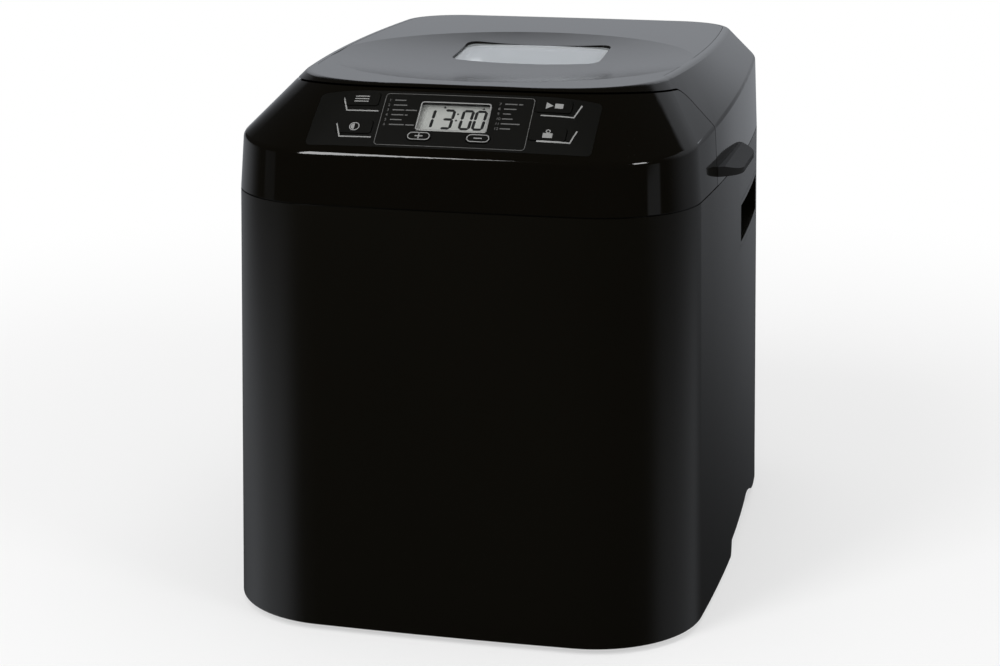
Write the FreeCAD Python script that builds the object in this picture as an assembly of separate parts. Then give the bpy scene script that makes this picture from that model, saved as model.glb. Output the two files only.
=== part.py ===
import FreeCAD, Part
import math
import os

from FreeCAD import Placement, Rotation, Vector

# Bread machine. Millimetres, +Z up, front towards -Y, origin on the standing surface below the middle.

# Body shell: plan at the split between body and lid, growing downwards by the draft
body_width = 225.0
body_depth = 303.0
corner_radius = 49.0
end_bow = 2000.0
side_bow = 1560.0
split_height = 203.7
foot_height = 3.0
draft = 0.025
wall = 2.5
fit_gap = 0.3
part_line = 0.7
part_line_depth = 0.8

# Upper block: upright band, slope and top, shared by console and lid
band_inset = 2.0
band_height = 23.8
band_tilt = 3.0
upper_height = 51.3
console_run = 33.5
lid_side_run = 17.7
lid_rear_run = 4.5
top_corner = 50.0
top_rear_corner = 30.0
top_side_bow = 1010.0
top_flare = 27.5
band_round = 3.2
top_round = 4.0
console_roof = 4.7

# Parting between console and lid
lid_setback = 85.5
lid_gap = 0.8
lid_lift = 0.5
knee_drop = 6.0
knee_radius = 6.0
lip_depth = 2.1

# Lid pieces
panel_inset = 2.8
panel_thickness = 6.5
panel_gap = 0.25
dish_centre = -14.0
dish_reach = 90.0
dish_depth = 8.5
pane_thickness = 3.0
window_width = 77.0
window_depth = 41.6
window_centre = 31.6
window_corner = 6.0
window_gap = 0.3
gasket_width = 4.0
gasket_thickness = 1.5
tab_length = 74.0
tab_reach = 10.5
tab_height = 4.8
tab_rise = 4.1
tab_corner = 19.0
tab_slope = 16.0
tab_setback = 1.0
tab_land = 3.0
liner_sheet = 1.2
liner_flange_rise = 2.6
liner_pocket_rise = 19.0
liner_round = 14.0
lid_post_radius = 4.0
lid_post_inset = 14.0
lid_post_front = 30.0
lid_post_rear = 50.0
lid_screw_length = 12.0

# Hinge at the rear
barrel_radius = 13.0
knuckle_radius = 6.5
ear_side_gap = 52.5
ear_width = 8.0
knuckle_width = 7.0
hinge_side_gap = 0.4
hinge_pin_radius = 2.5
running_gap = 0.05
ear_slot_gap = 0.7
ear_slot_rise = 9.5

# Deck below the lid
deck_drop = 1.0
deck_thickness = 3.0
ledge_depth = 4.0
ledge_height = 4.0

# Rear cover
rear_seam = 47.5
seam_gap = 0.3
vent_count = 11
vent_pitch = 9.0
vent_width = 3.2
vent_height = 46.0
vent_base = 58.0
rear_screw_side_gap = 54.5
rear_screw_inset = 9.0

# Side grips and lower arches
grip_seam_gap = 5.0
grip_length = 90.6
grip_drop = 46.0
grip_height = 24.0
grip_corner = 3.4
grip_depth = 17.0
grip_wall = 2.6
arch_seam_gap = 1.0
arch_length = 127.0
arch_step = 10.0
arch_height = 12.6
arch_level = 44.0

# Base tray, feet and screws
tray_thickness = 2.5
tray_wall = 2.0
tray_height = 18.0
foot_radius = 11.0
foot_stem_radius = 4.0
foot_inset_x = 40.0
foot_inset_y = 34.0
boss_radius = 4.5
boss_inset_x = 24.0
boss_inset_y = 34.0
boss_height = 36.0
boss_rib = 3.0
screw_radius = 1.7
screw_head_radius = 3.5
screw_head_height = 1.6
screw_cross_length = 4.0
screw_cross_width = 0.9
screw_cross_depth = 1.0
screw_length = 11.0
tray_slot_count = 7
tray_slot_pitch = 10.0
tray_slot_width = 4.0
tray_slot_length = 60.0

# Control panel on the slope: positions along the slope start at its lower edge
film_half_width = 65.5
film_low = 5.4
film_high = 38.6
film_corner = 2.4
film_thickness = 1.2
film_gap = 0.1
lens_half_width = 16.5
lens_low = 15.8
lens_high = 33.2
lens_corner = 1.2
lens_thickness = 2.6
module_margin = 1.6
key_x = 44.5
key_upper = 33.2
key_lower = 16.6
key_width = 16.5
key_height = 7.6
key_corner = 1.6
pill_x = 13.6
pill_place = 12.3
pill_width = 11.2
pill_height = 5.2
key_gap = 0.3
key_rise = 0.35
key_travel = 0.8
key_flange = 0.9
key_flange_thickness = 1.2
key_shelf = 4.6
stem_radius = 1.8
switch_size = 6.0
switch_height = 3.5
switch_slack = 0.1
board_depth = 11.0
board_thickness = 1.6
board_half_width = 63.5
board_low = 4.5
board_high = 37.5
board_post_radius = 3.0
board_post_x = 59.5
board_post_inset = 5.0
board_post_root = 2.7

# Oven and its chassis
cavity_side_gap = 30.5
cavity_rear_gap = 39.5
cavity_setback = 10.0
cavity_corner = 16.0
oven_sheet = 0.8
oven_flange = 6.0
chassis_height = 50.0
chassis_sheet = 2.0
chassis_overhang = 8.0
chassis_front_gap = 16.0
chassis_side_gap = 16.5
chassis_corner = 30.0
leg_radius = 5.0
leg_inset = 14.0
leg_setback = 44.0
spacer_radius = 4.0
spacer_height = 8.0
spacer_inset = 24.0
element_radius = 3.2
element_rise = 27.0
element_margin = 7.5
element_corner = 16.0
element_bend = 6.5
element_leg_x = 14.0
element_leg_length = 14.0
element_hole_gap = 0.6
clip_length = 8.0
clip_height = 11.0
clip_wall = 1.6
clip_spread = 36.0
sensor_x = -48.0
sensor_rise = 62.0
sensor_radius = 4.0
sensor_reach = 6.0
sensor_tail = 14.0
sensor_flange_radius = 8.0
sensor_flange_thickness = 2.0
fuse_x = 34.0
fuse_rise = 84.0
fuse_radius = 3.0
fuse_length = 20.0

# Drive below and in front of the oven
drive_shaft_radius = 5.0
drive_bearing_radius = 9.0
drive_bearing_length = 18.0
drive_pulley_radius = 42.0
motor_pulley_radius = 12.0
pulley_low = 26.0
pulley_height = 12.0
pulley_flange = 1.5
pulley_flange_thickness = 1.6
belt_width = 8.0
belt_thickness = 1.6
belt_gap = 0.3
motor_radius = 34.0
motor_height = 62.0
motor_side_gap = 74.5
motor_gap = 10.0
motor_shaft_radius = 4.0
motor_foot_reach = 8.0
motor_foot_height = 4.0
motor_clearance_hole = 8.0
capacitor_radius = 12.0
capacitor_height = 46.0
capacitor_gap = 4.0
power_board_side_gap = 24.5
power_board_depth = 64.0
power_board_gap = 10.0
relay_size = 16.0
relay_height = 18.0
transformer_width = 30.0
transformer_height = 26.0
component_inset = 8.0
gland_side_gap = 40.5
gland_height = 36.0
gland_radius = 9.0
gland_bore = 4.0
gland_flange = 3.0
gland_depth = 9.0

# Pan seat, coupler and pan
seat_radius = 32.5
seat_wall = 5.0
seat_floor = 1.0
seat_height = 9.0
coupler_radius = 19.0
coupler_rise = 3.0
coupler_thickness = 3.0
coupler_lug_height = 7.0
coupler_lug_width = 9.0
coupler_lug_gap = 3.6
wing_half_length = 15.0
wing_width = 5.0
wing_height = 5.0
wing_rise = 2.0
pan_floor_rise = 17.0
pan_side_gap = 18.0
pan_rear_gap = 20.0
pan_taper = 4.0
pan_drop = 10.9
pan_wall = 1.5
pan_corner = 18.0
rim_width = 2.5
rim_height = 4.0
skirt_wall = 3.0
pan_bearing_radius = 8.0
pan_bearing_flange = 11.0
pan_bearing_above = 3.0
pan_bearing_below = 2.0
pan_shaft_radius = 4.0
pan_shaft_height = 22.0
paddle_hub_radius = 9.0
paddle_hub_height = 18.0
paddle_length = 42.0
paddle_blade_height = 24.0
paddle_blade_thickness = 4.5
paddle_tip_height = 12.0
handle_radius = 2.0
handle_over = 10.0
handle_end_bend = 3.0
handle_corner_bend = 14.0
handle_drop = 8.0
handle_ear_width = 14.0
handle_ear_height = 12.0
handle_ear_reach = 5.0
handle_end_gap = 0.4

# Places worked out from the sizes above
front_face = -body_depth / 2
rear_face = body_depth / 2
half_width = body_width / 2
band_front_height = split_height + band_height
top_height = split_height + upper_height
far = 2 * (body_width + body_depth)
lid_front = front_face + lid_setback
deck_top = split_height - deck_drop
deck_bottom = deck_top - deck_thickness
tray_floor = foot_height + tray_thickness
chassis_top = chassis_height + chassis_sheet
oven_bottom = chassis_top + spacer_height
oven_floor = oven_bottom + oven_sheet
cavity_front = lid_front + cavity_setback
cavity_rear = rear_face - cavity_rear_gap
cavity_y = (cavity_front + cavity_rear) / 2
cavity_x = half_width - cavity_side_gap
seam_y = rear_face - rear_seam
grip_front = seam_y - grip_seam_gap - grip_length
grip_low = split_height - grip_drop
arch_rear = seam_y - arch_seam_gap
arch_front = arch_rear - arch_length
rear_screw_x = half_width - rear_screw_side_gap
gland_x = half_width - gland_side_gap
band_front = (front_face + band_inset) * math.cos(math.radians(band_tilt))
band_rise = math.tan(math.radians(band_tilt))
band_rear_height = band_front_height + 2 * (rear_face - band_inset) * math.sin(math.radians(band_tilt))
band_middle_height = (band_front_height + band_rear_height) / 2
top_front = band_front + console_run
top_rear = rear_face - band_inset - lid_rear_run
top_half = half_width - band_inset - lid_side_run
slope_angle = math.degrees(math.atan2(top_height - band_front_height, console_run))
lid_roof = panel_thickness + wall
panel_low = top_height - panel_thickness
dish_radius = (dish_reach ** 2 + dish_depth ** 2) / (2 * dish_depth)
knee_height = top_height - knee_drop
lip_height = top_height - lip_depth
ear_centre = half_width - ear_side_gap
hinge_height = split_height + lid_lift + barrel_radius
hinge_lean = band_inset * (hinge_height - split_height) / (band_rear_height - split_height)
hinge_y = rear_face - hinge_lean - barrel_radius
motor_x = motor_side_gap - half_width
motor_y = cavity_front - oven_sheet - motor_gap - motor_radius
pan_floor = oven_floor + pan_floor_rise
pan_rim = deck_top - pan_drop
pan_height = pan_rim - pan_floor
pan_top_half = min(cavity_x - pan_side_gap, cavity_rear - cavity_y - pan_rear_gap)
pan_bottom_half = pan_top_half - pan_taper
seat_top = oven_floor + seat_floor
handle_height = pan_rim - handle_drop
board_left = motor_x + motor_radius + motor_foot_reach + power_board_gap
board_front = cavity_front - power_board_gap - power_board_depth
power_board_width = half_width - power_board_side_gap - board_left
chassis_half = half_width - chassis_side_gap
chassis_front = front_face + chassis_front_gap
chassis_rear = cavity_rear - chassis_overhang


# Shapes used by many pieces

class Plan:
    """Plan outline with bowed ends and sides and round corners that are tangent to both."""

    def __init__(self, half, front, rear, corner, end, side, rear_corner=None, flare=0.0):
        self.half = half
        self.front = front
        self.rear = rear
        self.corner = corner
        self.end = end
        self.side = side
        self.rear_corner = rear_corner or corner
        self.flare = flare

    def grown(self, step):
        return Plan(self.half + step, self.front - step, self.rear + step, self.corner + step,
                    self.end + step, self.side + step, self.rear_corner + step, self.flare)

    def corner_points(self, end_centre, side_centre, at_front):
        """Start, middle and end of the right-hand corner arc, from the end bow to the side bow."""
        corner = self.corner if at_front else self.rear_corner
        span = side_centre - end_centre
        end_reach = self.end - corner
        side_reach = self.side - corner
        along = (end_reach ** 2 - side_reach ** 2 + span.Length ** 2) / (2 * span.Length)
        across = math.sqrt(end_reach ** 2 - along ** 2)
        direction = Vector(span)
        direction.normalize()
        aside = Vector(-direction.y, direction.x, 0)
        options = [end_centre + direction * along + aside * across * sign for sign in (1, -1)]
        options.sort(key=lambda point: point.y)
        centre = options[0] if at_front else options[1]
        to_end = centre - end_centre
        to_end.normalize()
        to_side = centre - side_centre
        to_side.normalize()
        bisector = to_end + to_side
        bisector.normalize()
        return [centre + way * corner for way in (to_end, bisector, to_side)]

    def wire(self, height=0.0):
        middle = (self.front + self.rear) / 2 + self.flare
        side_centre = Vector(self.half - self.side, middle, 0)
        front_arc = self.corner_points(Vector(0, self.front + self.end, 0), side_centre, True)
        rear_arc = self.corner_points(Vector(0, self.rear - self.end, 0), side_centre, False)

        def mirrored(point):
            return Vector(-point.x, point.y, 0)

        arcs = [
            [mirrored(front_arc[0]), Vector(0, self.front, 0), front_arc[0]],
            front_arc,
            [front_arc[2], Vector(self.half, middle, 0), rear_arc[2]],
            rear_arc[::-1],
            [rear_arc[0], Vector(0, self.rear, 0), mirrored(rear_arc[0])],
            [mirrored(point) for point in rear_arc],
            [mirrored(rear_arc[2]), Vector(-self.half, middle, 0), mirrored(front_arc[2])],
            [mirrored(point) for point in front_arc[::-1]],
        ]
        outline = Part.Wire([Part.Arc(*points).toShape() for points in arcs])
        outline.translate(Vector(0, 0, height))
        return outline

    def prism(self, low, high):
        return Part.Face(self.wire(low)).extrude(Vector(0, 0, high - low))


body_plan = Plan(half_width, front_face, rear_face, corner_radius, end_bow, side_bow)
top_plan = Plan(top_half, top_front, top_rear, top_corner, end_bow, top_side_bow, top_rear_corner, top_flare)


def loft(wires):
    return Part.makeLoft(wires, True, True)


def tilted(plan, front_height):
    """Outline in the tilted plane of the band's upper edge."""
    outline = plan.wire()
    lift = front_height - plan.front * math.sin(math.radians(band_tilt))
    outline.Placement = Placement(Vector(0, 0, lift), Rotation(Vector(1, 0, 0), band_tilt))
    return outline


def rounded_wire(x_low, x_high, y_low, y_high, radius, height=0.0):
    """Closed rectangle with round corners, in plan."""
    limit = min(x_high - x_low, y_high - y_low) / 2 - 0.01
    round_by = min(radius, limit)
    turn = round_by * (1 - math.sqrt(0.5))
    left, right, low, high = x_low, x_high, y_low, y_high
    stops = [
        (Vector(left + round_by, low, height), Vector(right - round_by, low, height)),
        (Vector(right, low + round_by, height), Vector(right, high - round_by, height)),
        (Vector(right - round_by, high, height), Vector(left + round_by, high, height)),
        (Vector(left, high - round_by, height), Vector(left, low + round_by, height)),
    ]
    middles = [
        Vector(right - turn, low + turn, height),
        Vector(right - turn, high - turn, height),
        Vector(left + turn, high - turn, height),
        Vector(left + turn, low + turn, height),
    ]
    edges = []
    for index, (start, end) in enumerate(stops):
        following = stops[(index + 1) % len(stops)][0]
        edges.append(Part.LineSegment(start, end).toShape())
        edges.append(Part.Arc(end, middles[index], following).toShape())
    return Part.Wire(edges)


def slab(x_low, x_high, y_low, y_high, z_low, z_high, radius=0.0):
    if radius > 0:
        outline = rounded_wire(x_low, x_high, y_low, y_high, radius, z_low)
        return Part.Face(outline).extrude(Vector(0, 0, z_high - z_low))
    return Part.makeBox(x_high - x_low, y_high - y_low, z_high - z_low, Vector(x_low, y_low, z_low))


def post(x, y, z_low, z_high, radius):
    return Part.makeCylinder(radius, z_high - z_low, Vector(x, y, z_low))


def rod_x(x_low, x_high, y, z, radius):
    return Part.makeCylinder(radius, x_high - x_low, Vector(x_low, y, z), Vector(1, 0, 0))


def rod_y(x, y_low, y_high, z, radius):
    return Part.makeCylinder(radius, y_high - y_low, Vector(x, y_low, z), Vector(0, 1, 0))


def side_prism(points, x_low, x_high):
    """Prism along X of an outline given as (y, z) points."""
    corners = [Vector(x_low, y, z) for y, z in points]
    corners.append(corners[0])
    return Part.Face(Part.makePolygon(corners)).extrude(Vector(x_high - x_low, 0, 0))


def mirrored_x(shape):
    return shape.mirror(Vector(0, 0, 0), Vector(1, 0, 0))


def four(x, y_front, y_rear):
    return [(side * x, y) for y in (y_front, y_rear) for side in (-1, 1)]


def moved(shape, step):
    copy = shape.copy()
    copy.translate(step)
    return copy


def tube_along(points, bends, radius):
    """Round bar along a flat path of straight runs joined by tangent arcs, one bend for each corner."""
    edges = []
    start = points[0]
    for before, corner, after, bend in zip(points, points[1:], points[2:], bends):
        into = corner - before
        into.normalize()
        out = after - corner
        out.normalize()
        arc_start = corner - into * bend
        arc_end = corner + out * bend
        inward = out - into
        inward.normalize()
        arc_middle = corner + inward * bend * (math.sqrt(2) - 1)
        edges.append(Part.LineSegment(start, arc_start).toShape())
        edges.append(Part.Arc(arc_start, arc_middle, arc_end).toShape())
        start = arc_end
    edges.append(Part.LineSegment(start, points[-1]).toShape())
    heading = points[1] - points[0]
    section = Part.Wire([Part.Circle(points[0], heading, radius).toShape()])
    return Part.Wire(edges).makePipeShell([section], True, False)


# Body shell

def body_offset(height):
    return draft * (split_height - height)


def body_block(step, low, high):
    """Drafted block of the body's plan, grown by a step, between two heights."""
    return loft([body_plan.grown(body_offset(z) + step).wire(z) for z in (low, high)])


def body_ring(outer_step, inner_step, low, high):
    inner = body_block(inner_step, low - part_line, high + part_line)
    return body_block(outer_step, low, high).cut(inner)


def in_front(shape):
    return shape.cut(Part.makeBox(far, far, far, Vector(-far / 2, seam_y - seam_gap / 2, -far / 2)))


def behind(shape):
    return shape.cut(Part.makeBox(far, far, far, Vector(-far / 2, seam_y + seam_gap / 2 - far, -far / 2)))


def grip_prism(step, side):
    """Rounded prism of one grip opening, running outwards through the side wall."""
    outline = rounded_wire(grip_front - step, grip_front + grip_length + step, grip_low - step,
                           grip_low + grip_height + step, grip_corner + step)
    inner_x = half_width - wall - grip_depth + grip_wall - step
    prism = Part.Face(outline).extrude(Vector(0, 0, grip_depth + 8 * wall))
    prism.Placement = Placement(Vector(inner_x, 0, 0), Rotation(Vector(1, 1, 1), 120))
    return prism if side > 0 else mirrored_x(prism)


def arch_prism():
    """Arch cut out of the lower edge of both sides, steep at its front end."""
    low = foot_height
    high = foot_height + arch_height
    step_end = arch_front + arch_step
    level_end = step_end + arch_level
    start = Vector(-far / 2, arch_front, low - part_line)
    foot = Vector(-far / 2, arch_front, low)
    shoulder = Vector(-far / 2, step_end, high)
    level = Vector(-far / 2, level_end, high)
    end = Vector(-far / 2, arch_rear, low)
    close = Vector(-far / 2, arch_rear, low - part_line)
    rise = Part.BezierCurve()
    rise.setPoles([foot, Vector(-far / 2, arch_front + arch_step / 2, low),
                   Vector(-far / 2, arch_front + arch_step / 4, high), shoulder])
    fall = Part.BezierCurve()
    reach = (arch_rear - level_end) / 2
    fall.setPoles([level, Vector(-far / 2, level_end + reach, high),
                   Vector(-far / 2, arch_rear - reach, low), end])
    edges = [
        Part.LineSegment(start, foot).toShape(),
        rise.toShape(),
        Part.LineSegment(shoulder, level).toShape(),
        fall.toShape(),
        Part.LineSegment(end, close).toShape(),
        Part.LineSegment(close, start).toShape(),
    ]
    return Part.Face(Part.Wire(edges)).extrude(Vector(far, 0, 0))


def boss_places():
    return four(half_width - boss_inset_x, front_face + boss_inset_y, rear_face - boss_inset_y)


def body_boss(x, y):
    """Screw boss on the tray floor, tied to the corner wall by a rib above the tray's edge."""
    boss = post(x, y, tray_floor, tray_floor + boss_height, boss_radius)
    outward = Vector(x, y, 0)
    outward.normalize()
    angle = math.degrees(math.atan2(outward.y, outward.x))
    rib = Part.makeBox(corner_radius, boss_rib, tray_floor + boss_height - tray_height - foot_height - fit_gap,
                       Vector(0, -boss_rib / 2, 0))
    rib.Placement = Placement(Vector(x, y, foot_height + tray_height + fit_gap), Rotation(Vector(0, 0, 1), angle))
    inside = body_block(-wall / 2, foot_height, split_height)
    bore = post(x, y, tray_floor - fit_gap, tray_floor + screw_length, screw_radius)
    return boss.fuse(rib).common(inside).cut(bore)


def whole_body():
    shell = body_ring(0, -wall, foot_height, split_height)
    ledge = body_ring(-wall / 2, -wall - ledge_depth, deck_bottom - ledge_height, deck_bottom)
    return shell.fuse([ledge] + [body_boss(x, y) for x, y in boss_places()])


def rear_wall_y(x, height):
    """Outer rear face, on its end bow, at a place across and up."""
    plan = body_plan.grown(body_offset(height))
    return plan.rear - plan.end + math.sqrt(plan.end ** 2 - x ** 2)


def rear_screw_places():
    heights = (tray_floor + rear_screw_inset, deck_bottom - rear_screw_inset)
    return [(side * rear_screw_x, z) for z in heights for side in (-1, 1)]


whole_shell = whole_body()


def make_housing():
    cuts = [grip_prism(fit_gap / 2, side) for side in (-1, 1)]
    return in_front(whole_shell).cut(cuts + [arch_prism()])


def make_rear_cover():
    cuts = []
    first = -(vent_count - 1) / 2
    for index in range(vent_count):
        x = (first + index) * vent_pitch
        cuts.append(slab(x - vent_width / 2, x + vent_width / 2, rear_face - 2 * wall, rear_face + 4 * wall,
                         vent_base, vent_base + vent_height))
    for x, z in rear_screw_places():
        face = rear_wall_y(x, z)
        cuts.append(rod_y(x, face - 2 * wall, face + wall, z, screw_radius + fit_gap))
        cuts.append(rod_y(x, face - screw_head_height, face + wall, z, screw_head_radius + fit_gap))
    inside = body_block(-wall, foot_height, split_height)
    half = rear_screw_inset
    for x, z in rear_screw_places():
        notch = slab(x - half, x + half, rear_face - corner_radius, rear_face + wall, z, split_height)
        if z > chassis_height:
            cuts.append(notch.common(inside))
    cuts.append(rod_y(gland_x, rear_face - 4 * wall, rear_face + 6 * wall, gland_height, gland_radius + running_gap))
    return behind(whole_shell).cut(cuts)


def cross_recess():
    """Driver's cross, upright, on the origin."""
    half = screw_cross_length / 2
    edge = screw_cross_width / 2
    bar = slab(-half, half, -edge, edge, 0, screw_cross_depth)
    return bar.fuse(slab(-edge, edge, -half, half, 0, screw_cross_depth))


def upright_screw(x, y, seat, tip):
    """Screw driven in from below, with its head under the seat."""
    head = post(x, y, seat - screw_head_height, seat, screw_head_radius)
    recess = cross_recess()
    recess.translate(Vector(x, y, seat - screw_head_height))
    return head.fuse(post(x, y, seat, tip, screw_radius)).cut(recess)


def make_rear_cover_screws():
    screws = []
    for x, z in rear_screw_places():
        face = rear_wall_y(x, z)
        head = rod_y(x, face - screw_head_height, face, z, screw_head_radius)
        shank = rod_y(x, face - screw_head_height - screw_length, face - screw_head_height, z, screw_radius)
        recess = cross_recess()
        recess.rotate(Vector(0, 0, 0), Vector(1, 0, 0), math.degrees(math.pi / 2))
        recess.translate(Vector(x, face, z))
        screws.append(head.fuse(shank).cut(recess))
    return Part.makeCompound(screws)


def screw_lug(x, z, low, high):
    """Block behind the rear wall that takes one of the cover's screws."""
    face = rear_wall_y(x, z) - wall - fit_gap
    half = rear_screw_inset - screw_head_radius / 2
    lug = slab(x - half, x + half, face - screw_length - wall, face + wall, low, high)
    lug = lug.common(body_block(-wall - fit_gap, foot_height, split_height))
    return lug.cut(rod_y(x, face - screw_length, face + wall, z, screw_radius))


def make_grip_cup(side):
    """Cup behind a grip opening, its rim flush with the side wall."""
    outer = grip_prism(0, side).common(body_block(0, foot_height, split_height))
    hollow = grip_prism(-grip_wall, side)
    return outer.cut(hollow)


def make_base_tray():
    top = foot_height + tray_height
    tray = body_block(-wall - fit_gap, foot_height, top)
    inner = body_block(-wall - fit_gap - tray_wall, tray_floor, top + part_line)
    tray = tray.cut(inner)
    lugs = [screw_lug(x, z, foot_height, z + rear_screw_inset) for x, z in rear_screw_places() if z < chassis_height]
    tray = tray.fuse(lugs)
    holes = [post(x, y, 0, tray_floor + wall, foot_stem_radius + running_gap) for x, y in foot_places()]
    holes += [post(x, y, 0, tray_floor + fit_gap, screw_radius + fit_gap) for x, y in boss_places() + leg_places()]
    first = -(tray_slot_count - 1) / 2
    for index in range(tray_slot_count):
        y = cavity_y + (first + index) * tray_slot_pitch
        holes.append(slab(-tray_slot_length / 2, tray_slot_length / 2, y - tray_slot_width / 2,
                          y + tray_slot_width / 2, 0, tray_floor + fit_gap, tray_slot_width / 2))
    bores = [rod_y(x, rear_face - 4 * screw_length, rear_face + 4 * wall, z, screw_radius)
             for x, z in rear_screw_places() if z < chassis_height]
    return tray.cut(holes + bores)


def foot_places():
    return four(half_width - foot_inset_x, front_face + foot_inset_y, rear_face - foot_inset_y)


def make_feet():
    feet = []
    for x, y in foot_places():
        pad = post(x, y, 0, foot_height, foot_radius)
        pad = pad.makeChamfer(foot_height / 4, [edge for edge in pad.Edges if edge.BoundBox.ZMax < foot_height / 2])
        feet.append(pad.fuse(post(x, y, foot_height, tray_floor, foot_stem_radius)))
    return Part.makeCompound(feet)


def make_base_screws():
    places = boss_places() + leg_places()
    return Part.makeCompound([upright_screw(x, y, foot_height, tray_floor + screw_length) for x, y in places])


# Upper block and its parting

def upper_block():
    """Outer form of console and lid together: band, slope and top, with rounded edges."""
    outlines = [body_plan.wire(split_height), tilted(body_plan.grown(-band_inset), band_front_height),
                top_plan.wire(top_height)]
    block = loft(outlines)
    top_edges = []
    band_edges = []
    for edge in block.Edges:
        middle = edge.valueAt((edge.FirstParameter + edge.LastParameter) / 2)
        level = edge.BoundBox.ZLength < band_round
        if level and abs(middle.z - top_height) < band_round:
            top_edges.append(edge)
        band_here = band_front_height + (middle.y - band_front) * band_rise
        ends = [edge.valueAt(p).z for p in (edge.FirstParameter, edge.LastParameter)]
        spread = max(abs(z - middle.z) for z in ends)
        if abs(middle.z - band_here) < band_round / 2 and spread < knee_radius:
            band_edges.append(edge)
    block = block.makeFillet(top_round, top_edges)
    kept = []
    for edge in block.Edges:
        middle = edge.valueAt((edge.FirstParameter + edge.LastParameter) / 2)
        if any((middle - other.valueAt((other.FirstParameter + other.LastParameter) / 2)).Length < part_line
               for other in band_edges):
            kept.append(edge)
    return block.makeFillet(band_round, kept)


def pulled(depth, rise, run):
    """How far an inner roof's edge lies outside the outer top edge, for a wall below the slope."""
    return (depth * run - wall * math.hypot(rise, run)) / rise


def upper_hollow(depth):
    """Inner form of the upper block, a wall thickness inside its sides and a depth below its top."""
    lower = wall * (1 / math.cos(math.radians(slope_angle)) - math.tan(math.radians(slope_angle)))
    front_pull = pulled(depth, top_height - band_front_height, console_run)
    side_pull = pulled(depth, top_height - band_middle_height, lid_side_run)
    rear_pull = pulled(depth, top_height - band_rear_height, lid_rear_run)
    roof_plan = Plan(top_half + side_pull, top_front - front_pull, top_rear + rear_pull, top_corner + side_pull,
                     end_bow, top_side_bow, top_rear_corner + side_pull, top_flare)
    return loft([body_plan.grown(-wall).wire(split_height - wall),
                 tilted(body_plan.grown(-band_inset - wall), band_front_height - lower),
                 roof_plan.wire(top_height - depth)])


def lid_zone(step):
    """Everything behind the parting profile, moved towards the console by a step."""
    run = top_front - lid_front
    rise = lip_height - knee_height
    length = math.hypot(run, rise)
    along_y = run / length
    along_z = rise / length
    slide = step * (1 - along_z) / -along_y
    knee_y = lid_front - step
    knee_z = knee_height - step * -along_y + slide * along_z
    reach = 2 * length
    points = [
        (far, split_height - far),
        (knee_y, split_height - far),
        (knee_y, knee_z),
        (knee_y + along_y * reach, knee_z + along_z * reach),
        (far, knee_z + along_z * reach),
    ]
    zone = side_prism(points, -far / 2, far / 2)
    knee = [edge for edge in zone.Edges
            if edge.BoundBox.YLength < part_line and abs(edge.BoundBox.YMin - knee_y) < part_line
            and edge.BoundBox.ZLength < part_line and abs(edge.BoundBox.ZMin - knee_z) < part_line]
    return zone.makeFillet(knee_radius - step, knee)


def part_line_ring(z_low, z_high):
    """Thin band round the plan that leaves the shadow line between body and upper block."""
    outside = body_plan.grown(wall).prism(z_low, z_high)
    return outside.cut(body_plan.grown(-part_line_depth).prism(z_low - wall, z_high + wall))


upper_outer = upper_block()
slope_normal = Vector(0, -math.sin(math.radians(slope_angle)), math.cos(math.radians(slope_angle)))


def on_slope(shape):
    shape.Placement = Placement(Vector(0, band_front, band_front_height), Rotation(Vector(1, 0, 0), slope_angle))
    return shape


def slope_slab(x_low, x_high, s_low, s_high, low, high, radius):
    return on_slope(slab(x_low, x_high, s_low, s_high, low, high, radius))


def slope_post(x, s, low, high, radius):
    return on_slope(post(x, s, low, high, radius))


def below_slope(depth):
    """The upper block sunk into the slope by a depth, so that layers follow its bow."""
    return moved(upper_outer, slope_normal * -depth)


def film_prism(step, low, high):
    return slope_slab(-film_half_width - step, film_half_width + step, film_low - step, film_high + step,
                      low, high, film_corner + step)


def lens_prism(step, low, high):
    return slope_slab(-lens_half_width - step, lens_half_width + step, lens_low - step, lens_high + step,
                      low, high, lens_corner + step)


def key_sites():
    """Name, place across, place up the slope, width, height and corner of each key."""
    sites = []
    for name, x, s in (("key_menu", -key_x, key_upper), ("key_crust", -key_x, key_lower),
                       ("key_start", key_x, key_upper), ("key_weight", key_x, key_lower)):
        sites.append((name, x, s, key_width, key_height, key_corner))
    for name, x in (("key_plus", -pill_x), ("key_minus", pill_x)):
        sites.append((name, x, pill_place, pill_width, pill_height, pill_height / 2))
    return sites


def key_prism(site, step, low, high):
    _, x, s, width, height, corner = site
    return slope_slab(x - width / 2 - step, x + width / 2 + step, s - height / 2 - step, s + height / 2 + step,
                      low, high, corner + step)


def key_holes():
    return [key_prism(site, key_gap, -board_depth, board_depth) for site in key_sites()]


def board_posts():
    places = [(side * board_post_x, s) for s in (board_low + board_post_inset, board_high - board_post_inset)
              for side in (-1, 1)]
    return [slope_post(x, s, -board_depth, -board_post_root, board_post_radius) for x, s in places]


def make_console():
    block = upper_outer.cut([lid_zone(0), dish_bowl(lid_gap)])
    hollow = upper_hollow(console_roof).cut([lid_zone(wall), dish_bowl(lid_gap + wall)])
    shell = block.cut(hollow).fuse(board_posts())
    pocket = film_prism(film_gap, -board_depth, board_depth).cut(below_slope(film_thickness))
    cuts = [pocket, part_line_ring(split_height - part_line, split_height + part_line)]
    cuts.append(lens_prism(film_gap, -board_depth, board_depth))
    return shell.cut(cuts + key_holes())


def make_control_panel():
    film = film_prism(0, -board_depth, board_depth).common(upper_outer).cut(below_slope(film_thickness))
    return film.cut(key_holes() + [lens_prism(film_gap, -board_depth, board_depth)])


def make_lcd_lens():
    return lens_prism(0, -board_depth, board_depth).common(upper_outer).cut(below_slope(lens_thickness))


def make_lcd_module():
    top = lens_thickness + fit_gap
    return slope_slab(-lens_half_width - module_margin, lens_half_width + module_margin, lens_low + module_margin,
                      lens_high + module_margin, -board_depth, -top, lens_corner)


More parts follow.
